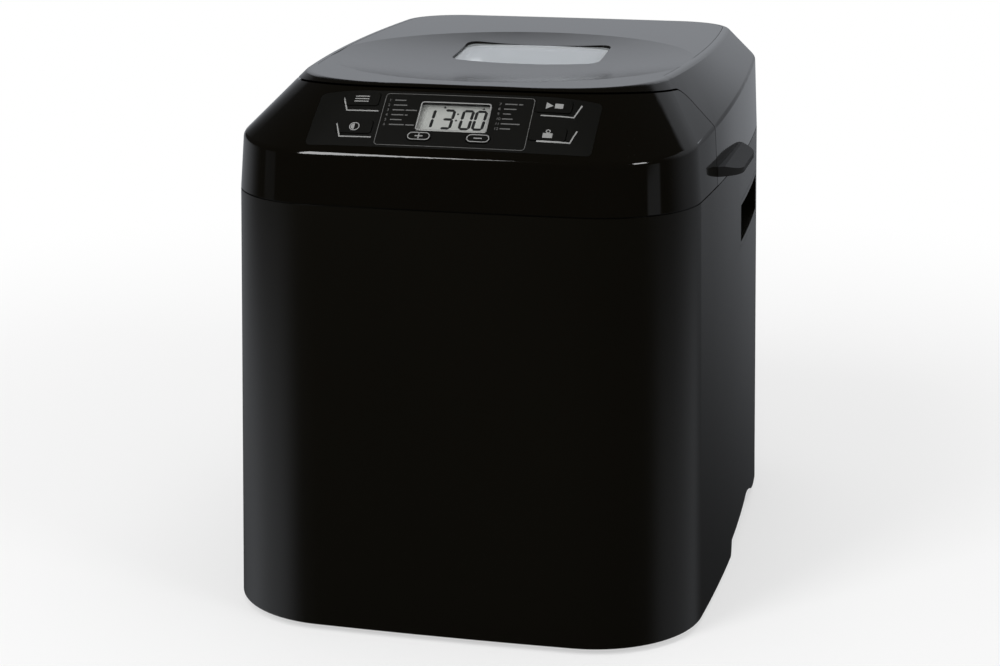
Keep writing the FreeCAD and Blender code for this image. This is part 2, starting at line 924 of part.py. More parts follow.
def make_control_board():
    return slope_slab(-board_half_width, board_half_width, board_low, board_high, -board_depth - board_thickness,
                      -board_depth, film_corner)


def make_key(site):
    """Key cap flush with the film, its retaining flange and the stem that meets the switch."""
    _, x, s, _, _, _ = site
    cap = key_prism(site, 0, -key_shelf, board_depth).common(below_slope(-key_rise))
    flange = key_prism(site, key_flange, -key_shelf - key_flange_thickness, -key_shelf)
    tip = board_depth - switch_height - switch_slack - key_travel
    stem = slope_post(x, s, -tip, -key_shelf - key_flange_thickness, stem_radius)
    return cap.fuse([flange, stem]).removeSplitter()


def make_key_switches():
    half = switch_size / 2
    return Part.makeCompound([
        slope_slab(x - half, x + half, s - half, s + half, -board_depth, -board_depth + switch_height, 0)
        for _, x, s, _, _, _ in key_sites()])


# Lid

def hinge_clearance(radius):
    """Material outside a radius about the hinge, behind and below its axis, that would foul the body."""
    block = Part.makeBox(far, far, far, Vector(-far / 2, hinge_y, hinge_height - far))
    return block.cut(rod_x(-far / 2, far / 2, hinge_y, hinge_height, radius))


def ear_slots():
    half = ear_width / 2 + ear_slot_gap
    slots = []
    for side in (-1, 1):
        x = side * ear_centre
        slots.append(slab(x - half, x + half, hinge_y - knuckle_radius, rear_face + wall, split_height - wall,
                          hinge_height + ear_slot_rise))
    return slots


def panel_prism(step):
    """Room for the lid's top panel: all of the lip in front of the lid, and the top inside its edge behind it."""
    lip = slab(-far / 2, far / 2, front_face, lid_front + lid_gap, panel_low, top_height + wall)
    return top_plan.grown(step - panel_inset).prism(panel_low, top_height + wall).fuse(lip)


def dish_ball(step):
    """Ball that hollows the lid's top, grown by a step."""
    centre = Vector(0, dish_centre, top_height - dish_depth + dish_radius)
    return Part.makeSphere(dish_radius + step, centre, Vector(1, 0, 0))


def dish_bowl(step):
    """The dish with the panel's skin below it, grown by a step, inside the panel's outline."""
    outline = top_plan.grown(step - panel_inset)
    return dish_ball(wall + step).common(outline.prism(panel_low - 2 * dish_depth, lip_height))


def window_prism(step, low, high):
    return slab(-window_width / 2 - step, window_width / 2 + step, window_centre - window_depth / 2 - step,
                window_centre + window_depth / 2 + step, low, high, window_corner + step)


def dish_level(y):
    """Height of the dish on the machine's middle line."""
    return top_height - dish_depth + dish_radius - math.sqrt(dish_radius ** 2 - (y - dish_centre) ** 2)


def above_pane(step):
    """Space above the window pane's flat face, moved down by a step; the face meets the dish fore and aft."""
    front = dish_level(window_centre - window_depth / 2)
    rear = dish_level(window_centre + window_depth / 2)
    space = Part.makeBox(far, far, far, Vector(-far / 2, -far / 2, -step))
    space.rotate(Vector(0, 0, 0), Vector(1, 0, 0), math.degrees(math.atan2(rear - front, window_depth)))
    space.translate(Vector(0, window_centre, (front + rear) / 2))
    return space


def lid_post_places():
    x = half_width - band_inset - lid_post_inset
    return four(x, lid_front + lid_post_front, rear_face - lid_post_rear)


flange_low = split_height + liner_flange_rise
flange_high = flange_low + liner_sheet
pocket_high = split_height + liner_pocket_rise


def make_lid_shell():
    zone = lid_zone(-lid_gap)
    floor = split_height + lid_lift
    below = Part.makeBox(far, far, far, Vector(-far / 2, -far / 2, floor - far))
    block = upper_outer.common(zone).cut([below, hinge_clearance(barrel_radius)])
    posts = [post(x, y, flange_high, top_height, lid_post_radius) for x, y in lid_post_places()]
    hollow = upper_hollow(lid_roof).common(lid_zone(-lid_gap - wall))
    hollow = hollow.cut([hinge_clearance(barrel_radius - wall)] + posts)
    cuts = [hollow, panel_prism(panel_gap), window_prism(wall + panel_gap, split_height, top_height + wall)]
    cuts += [post(x, y, split_height, flange_high + lid_screw_length, screw_radius) for x, y in lid_post_places()]
    return block.cut(cuts + [dish_bowl(panel_gap)] + ear_slots())


def make_lid_top_panel():
    """Dished panel with a ledge round its window opening."""
    panel = panel_prism(0).common(upper_outer).common(lid_zone(-lid_gap)).fuse(dish_bowl(0))
    seat = pane_thickness + gasket_thickness
    pane_room = window_prism(0, split_height, top_height + wall).common(above_pane(seat))
    frame = window_prism(wall, split_height, top_height).common(above_pane(seat + wall))
    opening = window_prism(-gasket_width, split_height, top_height + wall)
    return panel.fuse(frame).cut([dish_ball(0), pane_room, opening])


def make_lid_window():
    plate = window_prism(-window_gap, split_height, top_height)
    return plate.common(above_pane(pane_thickness)).cut(above_pane(0))


def make_window_gasket():
    """Seal ring under the window pane, on the ledge of its opening."""
    hole = window_prism(-gasket_width, split_height - wall, top_height + wall)
    ring = window_prism(-window_gap, split_height, top_height).cut(hole)
    return ring.common(above_pane(pane_thickness + gasket_thickness)).cut(above_pane(pane_thickness))


def knuckle_lug(x):
    """Hinge knuckle on an arm that rises from the liner's flange."""
    low_x = x - knuckle_width / 2
    high_x = x + knuckle_width / 2
    arm_end = hinge_y - 2 * knuckle_radius
    arm = slab(low_x, high_x, cavity_rear, arm_end, flange_low, hinge_height + knuckle_radius)
    link = slab(low_x, high_x, arm_end, hinge_y, hinge_height - knuckle_radius, hinge_height + knuckle_radius)
    eye = rod_x(low_x, high_x, hinge_y, hinge_height, knuckle_radius)
    return arm.fuse([link, eye])


def knuckle_places():
    step = ear_width / 2 + hinge_side_gap + knuckle_width / 2
    return [side * (ear_centre + way * step) for side in (-1, 1) for way in (-1, 1)]


def make_lid_liner():
    inset = wall + band_inset + fit_gap
    flange = body_plan.grown(-inset).prism(flange_low, flange_high)
    keep = slab(-far / 2, far / 2, lid_front + lid_gap + wall + fit_gap, hinge_y - 2 * knuckle_radius,
                split_height, top_height)
    flange = flange.common(keep)
    pocket_x = cavity_x - liner_sheet
    pocket = slab(-pocket_x, pocket_x, cavity_front, cavity_rear, flange_low, pocket_high + liner_sheet, liner_round)
    room = slab(-pocket_x + liner_sheet, pocket_x - liner_sheet, cavity_front + liner_sheet,
                cavity_rear - liner_sheet, split_height, pocket_high, liner_round - liner_sheet)
    liner = flange.fuse([pocket] + [knuckle_lug(x) for x in knuckle_places()])
    cuts = [room, window_prism(-gasket_width, split_height, top_height)]
    cuts.append(rod_x(-far / 2, far / 2, hinge_y, hinge_height, hinge_pin_radius + running_gap))
    cuts += [post(x, y, split_height, top_height, screw_radius + fit_gap) for x, y in lid_post_places()]
    return liner.cut(cuts)


def make_hinge_pins():
    half = ear_width / 2 + hinge_side_gap + knuckle_width
    return Part.makeCompound([rod_x(side * ear_centre - half, side * ear_centre + half, hinge_y, hinge_height,
                                    hinge_pin_radius) for side in (-1, 1)])


def make_lid_screws():
    tip = flange_high + lid_screw_length
    return Part.makeCompound([upright_screw(x, y, flange_low, tip) for x, y in lid_post_places()])


def make_lid_tab(side):
    """Leaf-shaped lift tab on the lid's lower edge, with a ridge along its upper face."""
    low = split_height + tab_rise
    high = low + tab_height
    front = lid_front + tab_setback
    edge = half_width - band_inset + tab_reach
    leaf = slab(half_width - 2 * tab_corner, edge, front, front + tab_length, low, high, tab_corner)
    ridge_x = edge - tab_reach + tab_land
    fall = math.tan(math.radians(tab_slope)) * tab_reach
    points = [Vector(ridge_x, front - wall, high), Vector(edge + wall, front - wall, high - fall),
              Vector(edge + wall, front - wall, high + wall), Vector(ridge_x, front - wall, high + wall)]
    points.append(points[0])
    facet = Part.Face(Part.makePolygon(points)).extrude(Vector(0, tab_length + 2 * wall, 0))
    tab = leaf.cut([facet, upper_outer])
    tab = max(tab.Solids, key=lambda solid: solid.CenterOfMass.x)
    return tab if side > 0 else mirrored_x(tab)


# Deck and oven

def make_top_deck():
    deck = body_plan.grown(-wall - fit_gap).prism(deck_bottom, deck_top)
    ears = []
    for side in (-1, 1):
        low_x = side * ear_centre - ear_width / 2
        high_x = side * ear_centre + ear_width / 2
        foot = slab(low_x, high_x, hinge_y - knuckle_radius, hinge_y + knuckle_radius, deck_bottom, hinge_height)
        ears.append(foot.fuse(rod_x(low_x, high_x, hinge_y, hinge_height, knuckle_radius)))
    lugs = [screw_lug(x, z, z - rear_screw_inset, deck_bottom) for x, z in rear_screw_places() if z > chassis_height]
    deck = deck.fuse(ears + lugs)
    mouth = slab(-cavity_x - oven_sheet, cavity_x + oven_sheet, cavity_front - oven_sheet, cavity_rear + oven_sheet,
                 deck_bottom - wall, deck_top + wall, cavity_corner + oven_sheet)
    pins = [rod_x(-far / 2, far / 2, hinge_y, hinge_height, hinge_pin_radius)]
    return deck.cut([mouth] + pins)


def make_oven_liner():
    """Sheet-metal oven box with a turned-out flange below the deck."""
    sheet = oven_sheet
    box = slab(-cavity_x - sheet, cavity_x + sheet, cavity_front - sheet, cavity_rear + sheet, oven_bottom,
               deck_bottom, cavity_corner + sheet)
    reach = sheet + oven_flange
    flange = slab(-cavity_x - reach, cavity_x + reach, cavity_front - reach, cavity_rear + reach,
                  deck_bottom - sheet, deck_bottom, cavity_corner + reach)
    room = slab(-cavity_x, cavity_x, cavity_front, cavity_rear, oven_floor, deck_top, cavity_corner)
    cuts = [room, post(0, cavity_y, oven_bottom - sheet, oven_floor + sheet, drive_bearing_radius + fit_gap)]
    for x in (-element_leg_x, element_leg_x):
        cuts.append(rod_y(x, cavity_front - 2 * element_bend, cavity_front + element_bend, element_height(),
                          element_radius + element_hole_gap))
    cuts.append(rod_y(sensor_x, cavity_front - sensor_tail, cavity_front + sensor_reach, oven_floor + sensor_rise,
                      sensor_radius + running_gap))
    return box.fuse(flange).cut(cuts)


def element_height():
    return oven_floor + element_rise


def make_heating_element():
    """Tubular heater: one loop round the pan, with both ends through the oven's front wall."""
    z = element_height()
    loop_x = cavity_x - element_margin
    near = cavity_front + element_margin
    away = cavity_rear - element_margin
    end = cavity_front - oven_sheet - element_leg_length
    leg = [Vector(-element_leg_x, end, z), Vector(-element_leg_x, near, z), Vector(-loop_x / 2, near, z)]
    points = [Vector(-loop_x / 2, near, z), Vector(-loop_x, near, z), Vector(-loop_x, away, z),
              Vector(loop_x, away, z), Vector(loop_x, near, z), Vector(loop_x / 2, near, z)]
    front_left = tube_along(leg, [element_bend], element_radius)
    ring = tube_along(points, [element_corner] * 4, element_radius)
    return ring.fuse([front_left, mirrored_x(front_left)]).removeSplitter()


def make_heater_clips():
    clips = []
    z = element_height()
    loop_x = cavity_x - element_margin
    for side in (-1, 1):
        for way in (-1, 1):
            y = cavity_y + way * clip_spread
            inner = loop_x - element_radius - clip_wall
            clip = slab(min(side * inner, side * cavity_x), max(side * inner, side * cavity_x), y - clip_length / 2,
                        y + clip_length / 2, z - clip_height / 2, z + clip_height / 2)
            clips.append(clip.cut(rod_y(side * loop_x, y - clip_length, y + clip_length, z,
                                        element_radius + running_gap)))
    return Part.makeCompound(clips)


def make_temperature_sensor():
    z = oven_floor + sensor_rise
    outside = cavity_front - oven_sheet
    probe = rod_y(sensor_x, outside - sensor_tail, cavity_front + sensor_reach, z, sensor_radius)
    return probe.fuse(rod_y(sensor_x, outside - sensor_flange_thickness, outside, z, sensor_flange_radius))


def make_thermal_fuse():
    y = cavity_front - oven_sheet - fuse_radius
    z = oven_floor + fuse_rise
    barrel = rod_x(fuse_x - fuse_length / 2, fuse_x + fuse_length / 2, y, z, fuse_radius)
    pad = slab(fuse_x - fuse_length / 4, fuse_x + fuse_length / 4, y, cavity_front - oven_sheet, z - fuse_radius,
               z + fuse_radius)
    return barrel.fuse(pad)


def leg_places():
    x = chassis_half - leg_inset
    return four(x, chassis_front + leg_setback, chassis_rear - leg_inset)


def spacer_places():
    x = cavity_x - spacer_inset
    return four(x, cavity_front + spacer_inset, cavity_rear - spacer_inset)


def power_board_posts():
    right = board_left + power_board_width
    back = board_front + power_board_depth
    inset = component_inset / 2
    return [(x, y) for x in (board_left + inset, right - inset) for y in (board_front + inset, back - inset)]


def make_chassis_bracket():
    plate = slab(-chassis_half, chassis_half, chassis_front, chassis_rear, chassis_height, chassis_top,
                 chassis_corner)
    legs = [post(x, y, tray_floor, chassis_height, leg_radius) for x, y in leg_places()]
    spacers = [post(x, y, chassis_top, oven_bottom, spacer_radius) for x, y in spacer_places()]
    spacers += [post(x, y, chassis_top, oven_bottom, spacer_radius) for x, y in power_board_posts()]
    holes = [post(0, cavity_y, chassis_height - wall, chassis_top + wall, drive_bearing_radius),
             post(motor_x, motor_y, chassis_height - wall, chassis_top + wall, motor_clearance_hole)]
    holes += [post(x, y, tray_floor - wall, tray_floor + screw_length, screw_radius) for x, y in leg_places()]
    return plate.fuse(legs + spacers).cut(holes)


# Drive

def pulley(x, y, radius, bore):
    """Flat-belt pulley with two flanges."""
    high = pulley_low + pulley_height
    wheel = post(x, y, pulley_low, high, radius)
    rim = radius + pulley_flange
    lower = post(x, y, pulley_low, pulley_low + pulley_flange_thickness, rim)
    upper = post(x, y, high - pulley_flange_thickness, high, rim)
    return wheel.fuse([lower, upper]).cut(post(x, y, pulley_low - wall, high + wall, bore)).removeSplitter()


def belt_wire(step, height):
    """Open belt round both pulleys: two tangent runs and two arcs."""
    large = Vector(0, cavity_y, height)
    small = Vector(motor_x, motor_y, height)
    large_radius = drive_pulley_radius + step
    small_radius = motor_pulley_radius + step
    span = small - large
    heading = math.atan2(span.y, span.x)
    lean = math.acos((large_radius - small_radius) / span.Length)

    def on(centre, radius, angle):
        return centre + Vector(math.cos(angle), math.sin(angle), 0) * radius

    left_large = on(large, large_radius, heading + lean)
    left_small = on(small, small_radius, heading + lean)
    right_large = on(large, large_radius, heading - lean)
    right_small = on(small, small_radius, heading - lean)
    edges = [
        Part.LineSegment(left_large, left_small).toShape(),
        Part.Arc(left_small, on(small, small_radius, heading), right_small).toShape(),
        Part.LineSegment(right_small, right_large).toShape(),
        Part.Arc(right_large, on(large, large_radius, heading + math.pi), left_large).toShape(),
    ]
    return Part.Wire(edges)


def make_drive_belt():
    low = pulley_low + (pulley_height - belt_width) / 2
    outer = Part.Face(belt_wire(belt_gap + belt_thickness, low))
    inner = Part.Face(belt_wire(belt_gap, low))
    return outer.cut(inner).extrude(Vector(0, 0, belt_width))


def make_drive_shaft():
    return post(0, cavity_y, pulley_low, coupler_low, drive_shaft_radius)


def make_drive_bearing():
    """Plain bearing pressed into the chassis, up into the oven floor."""
    high = oven_floor + seat_floor
    bush = post(0, cavity_y, high - drive_bearing_length, high, drive_bearing_radius)
    collar = post(0, cavity_y, high - drive_bearing_length, chassis_height, drive_bearing_radius + wall)
    bore = post(0, cavity_y, high - 2 * drive_bearing_length, high + wall, drive_shaft_radius + running_gap)
    return bush.fuse(collar).cut(bore).removeSplitter()


coupler_low = seat_top + coupler_rise
coupler_top = coupler_low + coupler_thickness
wing_low = coupler_top + wing_rise


def make_drive_coupler():
    """Disc with two upright lugs that turn the wing of the pan shaft."""
    disc = post(0, cavity_y, coupler_low, coupler_top, coupler_radius)
    cuts = [post(0, cavity_y, coupler_top, coupler_top + coupler_lug_height, pan_shaft_radius + coupler_lug_gap)]
    lugs = []
    for side in (-1, 1):
        inner = side * (wing_width / 2 + coupler_lug_gap)
        outer = side * (wing_width / 2 + coupler_lug_gap + coupler_lug_width)
        lug = slab(min(inner, outer), max(inner, outer), cavity_y - coupler_lug_width / 2,
                   cavity_y + coupler_lug_width / 2, coupler_top, coupler_top + coupler_lug_height)
        lugs.append(lug.common(post(0, cavity_y, coupler_low, coupler_top + coupler_lug_height, coupler_radius)))
    return disc.fuse([lug.cut(cuts) for lug in lugs])


def make_motor():
    """Motor can on the chassis, with two mounting feet and a blind bore for its shaft."""
    can = post(motor_x, motor_y, chassis_top, chassis_top + motor_height, motor_radius)
    rim = [edge for edge in can.Edges if edge.BoundBox.ZMin > chassis_top + motor_height / 2]
    can = can.makeFillet(wall, rim)
    feet = slab(motor_x - motor_radius - motor_foot_reach, motor_x + motor_radius + motor_foot_reach,
                motor_y - motor_foot_reach, motor_y + motor_foot_reach, chassis_top,
                chassis_top + motor_foot_height, motor_foot_height)
    bore = post(motor_x, motor_y, chassis_top - wall, chassis_top + motor_height / 2 + fit_gap,
                motor_shaft_radius + running_gap)
    return can.fuse(feet).cut(bore)


def make_motor_shaft():
    return post(motor_x, motor_y, pulley_low, chassis_top + motor_height / 2, motor_shaft_radius)


def make_motor_capacitor():
    x = motor_x - motor_radius - capacitor_gap - capacitor_radius
    y = motor_y + motor_foot_reach + capacitor_radius
    can = post(x, y, chassis_top, chassis_top + capacitor_height, capacitor_radius)
    return can.makeFillet(wall / 2, [edge for edge in can.Edges if edge.BoundBox.ZMin > chassis_top + wall])


def make_power_board():
    """Mains board on the chassis spacers, with its relays and transformer."""
    right = board_left + power_board_width
    back = board_front + power_board_depth
    top = oven_bottom + board_thickness
    board = slab(board_left, right, board_front, back, oven_bottom, top)
    block = slab(board_left + component_inset, board_left + component_inset + transformer_width,
                 board_front + component_inset, board_front + component_inset + transformer_width, top,
                 top + transformer_height)
    relays = []
    for row in range(2):
        y = board_front + component_inset + row * (relay_size + component_inset)
        relays.append(slab(right - component_inset - relay_size, right - component_inset, y, y + relay_size, top,
                           top + relay_height))
    return board.fuse([block] + relays)


def make_cord_gland():
    """Round bush in the rear cover where the mains lead would enter, flush with the wall."""
    face = rear_wall_y(gland_x, gland_height)
    body = rod_y(gland_x, face - corner_radius, face + wall, gland_height, gland_radius)
    body = body.common(body_block(0, foot_height, split_height))
    body = body.cut(body_block(-gland_depth, foot_height, split_height))
    flange = rod_y(gland_x, face - corner_radius, face, gland_height, gland_radius + gland_flange)
    flange = flange.common(body_block(-wall, foot_height, split_height))
    flange = flange.cut(body_block(-gland_depth, foot_height, split_height))
    bore = rod_y(gland_x, face - corner_radius, face + corner_radius, gland_height, gland_bore)
    return body.fuse(flange).cut(bore)


# Pan

def make_pan_seat():
    """Ring on the oven floor that takes the pan's skirt."""
    outer = seat_radius + seat_wall
    ring = post(0, cavity_y, oven_floor, oven_floor + seat_height, outer)
    cuts = [post(0, cavity_y, seat_top, oven_floor + 2 * seat_height, seat_radius),
            post(0, cavity_y, oven_floor - wall, oven_floor + seat_height, drive_bearing_radius)]
    return ring.cut(cuts)


def pan_block(step, low, high):
    """Tapered pan body with round corners, grown by a step."""
    wires = []
    for z in (low, high):
        half = pan_bottom_half + (pan_top_half - pan_bottom_half) * (z - pan_floor) / pan_height + step
        wires.append(rounded_wire(-half, half, cavity_y - half, cavity_y + half, pan_corner + step, z))
    return loft(wires)


def handle_ear(side):
    inner = side * (pan_top_half - pan_wall)
    outer = side * (pan_top_half + handle_ear_reach)
    half = handle_ear_width / 2
    ear = slab(min(inner, outer), max(inner, outer), cavity_y - half, cavity_y + half,
               handle_height - handle_ear_height, handle_height + handle_drop - rim_height)
    return ear.cut(pan_block(-pan_wall, pan_floor - wall, pan_rim + wall))


def make_bread_pan():
    body = pan_block(0, pan_floor, pan_rim)
    room = pan_block(-pan_wall, pan_floor + pan_wall, pan_rim + wall)
    half = pan_top_half + rim_width
    rim = slab(-half, half, cavity_y - half, cavity_y + half, pan_rim - rim_height, pan_rim, pan_corner + rim_width)
    skirt_outer = seat_radius - fit_gap
    skirt = post(0, cavity_y, seat_top + fit_gap, pan_floor + pan_wall / 2, skirt_outer)
    skirt = skirt.cut(post(0, cavity_y, oven_floor, pan_floor, skirt_outer - skirt_wall))
    pan = body.fuse([rim, skirt] + [handle_ear(side) for side in (-1, 1)])
    tip = pan_top_half + handle_end_gap
    cuts = [room, post(0, cavity_y, pan_floor - wall, pan_floor + 2 * wall, pan_bearing_radius)]
    for low, high in ((tip, cavity_x), (-cavity_x, -tip)):
        cuts.append(rod_x(low, high, cavity_y, handle_height, handle_radius + running_gap))
    return pan.cut(cuts)


def make_pan_bearing():
    bush = post(0, cavity_y, pan_floor - pan_bearing_below, pan_floor + pan_bearing_above, pan_bearing_radius)
    flange = post(0, cavity_y, pan_floor - pan_bearing_below, pan_floor, pan_bearing_flange)
    bore = post(0, cavity_y, oven_floor, pan_floor + 2 * pan_bearing_radius, pan_shaft_radius + running_gap)
    return bush.fuse(flange).cut(bore).removeSplitter()


def make_pan_handle():
    """Wire bail lying back round the pan, its ends turned into the pan's ears."""
    z = handle_height
    end_x = pan_top_half + 2 * handle_end_gap
    arm_x = pan_top_half + handle_ear_reach + fit_gap + handle_end_bend
    back = cavity_y + pan_top_half + handle_over
    points = [Vector(end_x, cavity_y, z), Vector(arm_x, cavity_y, z), Vector(arm_x, back, z),
              Vector(-arm_x, back, z), Vector(-arm_x, cavity_y, z), Vector(-end_x, cavity_y, z)]
    bends = [handle_end_bend, handle_corner_bend, handle_corner_bend, handle_end_bend]
    return tube_along(points, bends, handle_radius)


def make_pan_shaft():
    """Shaft through the pan floor, with the wing that the coupler turns."""
    shaft = post(0, cavity_y, wing_low, pan_floor + pan_shaft_height, pan_shaft_radius)
    wing = slab(-wing_width / 2, wing_width / 2, cavity_y - wing_half_length, cavity_y + wing_half_length, wing_low,
                wing_low + wing_height)
    return shaft.fuse(wing)


def make_kneading_paddle():
    """Hub on the pan shaft with one tapering blade."""
    low = pan_floor + pan_bearing_above + fit_gap
    hub = post(0, cavity_y, low, low + paddle_hub_height, paddle_hub_radius)
    half = paddle_blade_thickness / 2
    blade = side_prism([(cavity_y, low), (cavity_y + paddle_length, low),
                        (cavity_y + paddle_length, low + paddle_tip_height), (cavity_y, low + paddle_blade_height)],
                       -half, half)
    return hub.fuse(blade).cut(post(0, cavity_y, oven_floor, pan_floor + pan_shaft_height, pan_shaft_radius))


# Every piece, by the name of its node

pieces = {
    "housing": make_housing(),
    "rear_cover": make_rear_cover(),
    "rear_cover_screws": make_rear_cover_screws(),
    "base_tray": make_base_tray(),
    "base_screws": make_base_screws(),
    "feet": make_feet(),
    "grip_cup_right": make_grip_cup(1),
    "grip_cup_left": make_grip_cup(-1),
    "console": make_console(),
    "control_panel": make_control_panel(),
    "lcd_lens": make_lcd_lens(),
    "lcd_module": make_lcd_module(),
    "control_board": make_control_board(),
    "key_switches": make_key_switches(),
    "lid_shell": make_lid_shell(),
    "lid_top_panel": make_lid_top_panel(),
    "lid_window": make_lid_window(),
    "window_gasket": make_window_gasket(),
    "lid_liner": make_lid_liner(),
    "lid_screws": make_lid_screws(),
    "lid_tab_right": make_lid_tab(1),
    "lid_tab_left": make_lid_tab(-1),
    "top_deck": make_top_deck(),
    "hinge_pins": make_hinge_pins(),
    "oven_liner": make_oven_liner(),
    "heating_element": make_heating_element(),
    "heater_clips": make_heater_clips(),
    "temperature_sensor": make_temperature_sensor(),
    "thermal_fuse": make_thermal_fuse(),
    "chassis_bracket": make_chassis_bracket(),
    "drive_belt": make_drive_belt(),
    "drive_pulley": pulley(0, cavity_y, drive_pulley_radius, drive_shaft_radius),
    "drive_shaft": make_drive_shaft(),
    "drive_bearing": make_drive_bearing(),
    "drive_coupler": make_drive_coupler(),
    "motor": make_motor(),
    "motor_shaft": make_motor_shaft(),
    "motor_pulley": pulley(motor_x, motor_y, motor_pulley_radius, motor_shaft_radius),
    "motor_capacitor": make_motor_capacitor(),
    "power_board": make_power_board(),
    "cord_gland": make_cord_gland(),
    "pan_seat": make_pan_seat(),
    "bread_pan": make_bread_pan(),
    "pan_bearing": make_pan_bearing(),
    "pan_handle": make_pan_handle(),
    "pan_shaft": make_pan_shaft(),
    "kneading_paddle": make_kneading_paddle(),
}
for site in key_sites():
    pieces[site[0]] = make_key(site)

os.makedirs("parts", exist_ok=True)
for name, shape in pieces.items():
    shape.exportStep("parts/" + name + ".step")
    box = shape.BoundBox
    print(name, "solids", len(shape.Solids), "valid", shape.isValid(), "volume", round(shape.Volume),
          "z", round(box.ZMin, 1), round(box.ZMax, 1))
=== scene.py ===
# %% [markdown]
# # A bread machine for the worktop
# The machine is a black moulded body with a glossy upper part: a console with a sloped key panel
# in front, and behind it a lid with a small window. Its solids come from CAD, already in place and
# in metres. This lesson dresses them: camera and light first, then the finishes, and last the thin
# printed pieces on the key panel, which belong to no solid.

# %% Load the frame
import math

import bmesh
import bpy
from mathutils import Matrix, Vector
from mathutils.bvhtree import BVHTree


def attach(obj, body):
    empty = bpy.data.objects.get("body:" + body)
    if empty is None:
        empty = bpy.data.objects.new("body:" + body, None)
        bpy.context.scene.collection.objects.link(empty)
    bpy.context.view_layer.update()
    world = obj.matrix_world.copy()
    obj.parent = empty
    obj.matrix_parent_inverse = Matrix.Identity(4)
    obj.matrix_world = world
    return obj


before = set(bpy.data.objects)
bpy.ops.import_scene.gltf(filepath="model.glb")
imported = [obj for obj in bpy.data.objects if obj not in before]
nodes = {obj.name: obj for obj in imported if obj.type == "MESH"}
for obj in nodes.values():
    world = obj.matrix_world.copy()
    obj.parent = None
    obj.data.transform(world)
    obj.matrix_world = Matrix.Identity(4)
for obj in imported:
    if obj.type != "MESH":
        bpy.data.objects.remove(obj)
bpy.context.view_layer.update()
scene = bpy.context.scene
MM = 0.001

# %% [markdown]
# ## Camera
# The machine is seen from slightly right of its middle and from a little above the lid. A Track To
# constraint could aim the camera, but two plain angles are easier to fit to a picture. A camera
# looks along its own -Z, so it is tipped up by 90 degrees less its downward pitch, then turned
# about Z. A long lens keeps the sides nearly parallel, so no shift is needed.

# %% Camera
CAMERA_PLACE = (0.2410, -1.0538, 0.4031)
CAMERA_PITCH = 15.262
CAMERA_YAW = 13.374
CAMERA_LENS = 77.43
CAMERA_SENSOR = 36.0

lens = bpy.data.cameras.new("viewpoint")
lens.sensor_width = CAMERA_SENSOR
lens.lens = CAMERA_LENS
camera = bpy.data.objects.new("viewpoint", lens)
camera.location = CAMERA_PLACE
camera.rotation_euler = (math.radians(90 - CAMERA_PITCH), 0, math.radians(CAMERA_YAW))
scene.collection.objects.link(camera)
scene.camera = camera
print("camera", CAMERA_PLACE, "lens", CAMERA_LENS)

# %% [markdown]
# ## Room
# Black gloss shows little of its own colour: it is made of what it mirrors. A panorama image could
# give it a room, but a few ramps in the world's shader do it with nothing to load, and each can be
# set alone. A ray's direction has three parts, across, along and up, and a ramp turns one of them
# into a level. Four small helpers keep these node trees short, here and in the materials.

# %% Node helpers
def add(tree, kind, **settings):
    """New node with the given properties and input values."""
    node = tree.nodes.new(kind)
    for name, value in settings.items():
        if hasattr(node, name):
            setattr(node, name, value)
        else:
            node.inputs[name.replace("_", " ")].default_value = value
    return node


def wire(tree, *pairs):
    """Links, each from an output socket to an input socket."""
    for source, target in pairs:
        tree.links.new(source, target)


def ramp(tree, source, low, high, start, end, smooth=True):
    """Value that runs from start to end while the source runs from low to high."""
    kind = "SMOOTHSTEP" if smooth else "LINEAR"
    node = add(tree, "ShaderNodeMapRange", interpolation_type=kind)
    for index, value in enumerate((low, high, start, end)):
        node.inputs[index + 1].default_value = value
    wire(tree, (source, node.inputs[0]))
    return node.outputs[0]


def chain(tree, operation, *terms):
    """Chain of one operation over sockets and numbers."""
    total = terms[0]
    for term in terms[1:]:
        node = add(tree, "ShaderNodeMath", operation=operation)
        for index, value in enumerate((total, term)):
            if isinstance(value, (int, float)):
                node.inputs[index].default_value = value
            else:
                wire(tree, (value, node.inputs[index]))
        total = node.outputs[0]
    return total


print("node helpers", [helper.__name__ for helper in (add, wire, ramp, chain)])

# %% World
scene.view_settings.view_transform = "Standard"
world = bpy.data.worlds.new("studio")
scene.world = world
world.use_nodes = True
tree = world.node_tree
tree.nodes.clear()
heading = add(tree, "ShaderNodeTexCoord")
parts = add(tree, "ShaderNodeSeparateXYZ")
wire(tree, (heading.outputs["Generated"], parts.inputs[0]))
across, along, up = parts.outputs
print("parts of a ray's direction", [part.name for part in parts.outputs])

# %% [markdown]
# The lid and the rounded edges mirror a pale wall behind the machine. It is dim near the floor and
# brighter higher up, and it ends in a sloping upper edge, in a dark corner on the left and in a
# slow fade to the right. An upright plane with a material could stand there instead, but it would
# hide the machine from behind. Each ramp is four numbers: its start, its end, and the level at
# each.

# %% Wall that the lid mirrors
WALL_DEPTH = (0.0, 0.6, 0.0, 1.0)
WALL_TOP = (0.49, 0.55, 1.0, 0.0)
WALL_TOP_SLOPE = 0.2
WALL_LOWER = (-0.38, -0.08, 0.0, 0.32)
WALL_UPPER = (0.0, 0.34, 0.0, 0.38)
WALL_RIGHT = (0.14, 0.30, 1.0, 0.45)
CORNER_LEFT = (-0.65, -0.40, 0.0, 1.0)
CORNER_FOOT = (0.0, 0.15, 1.0, 0.0)

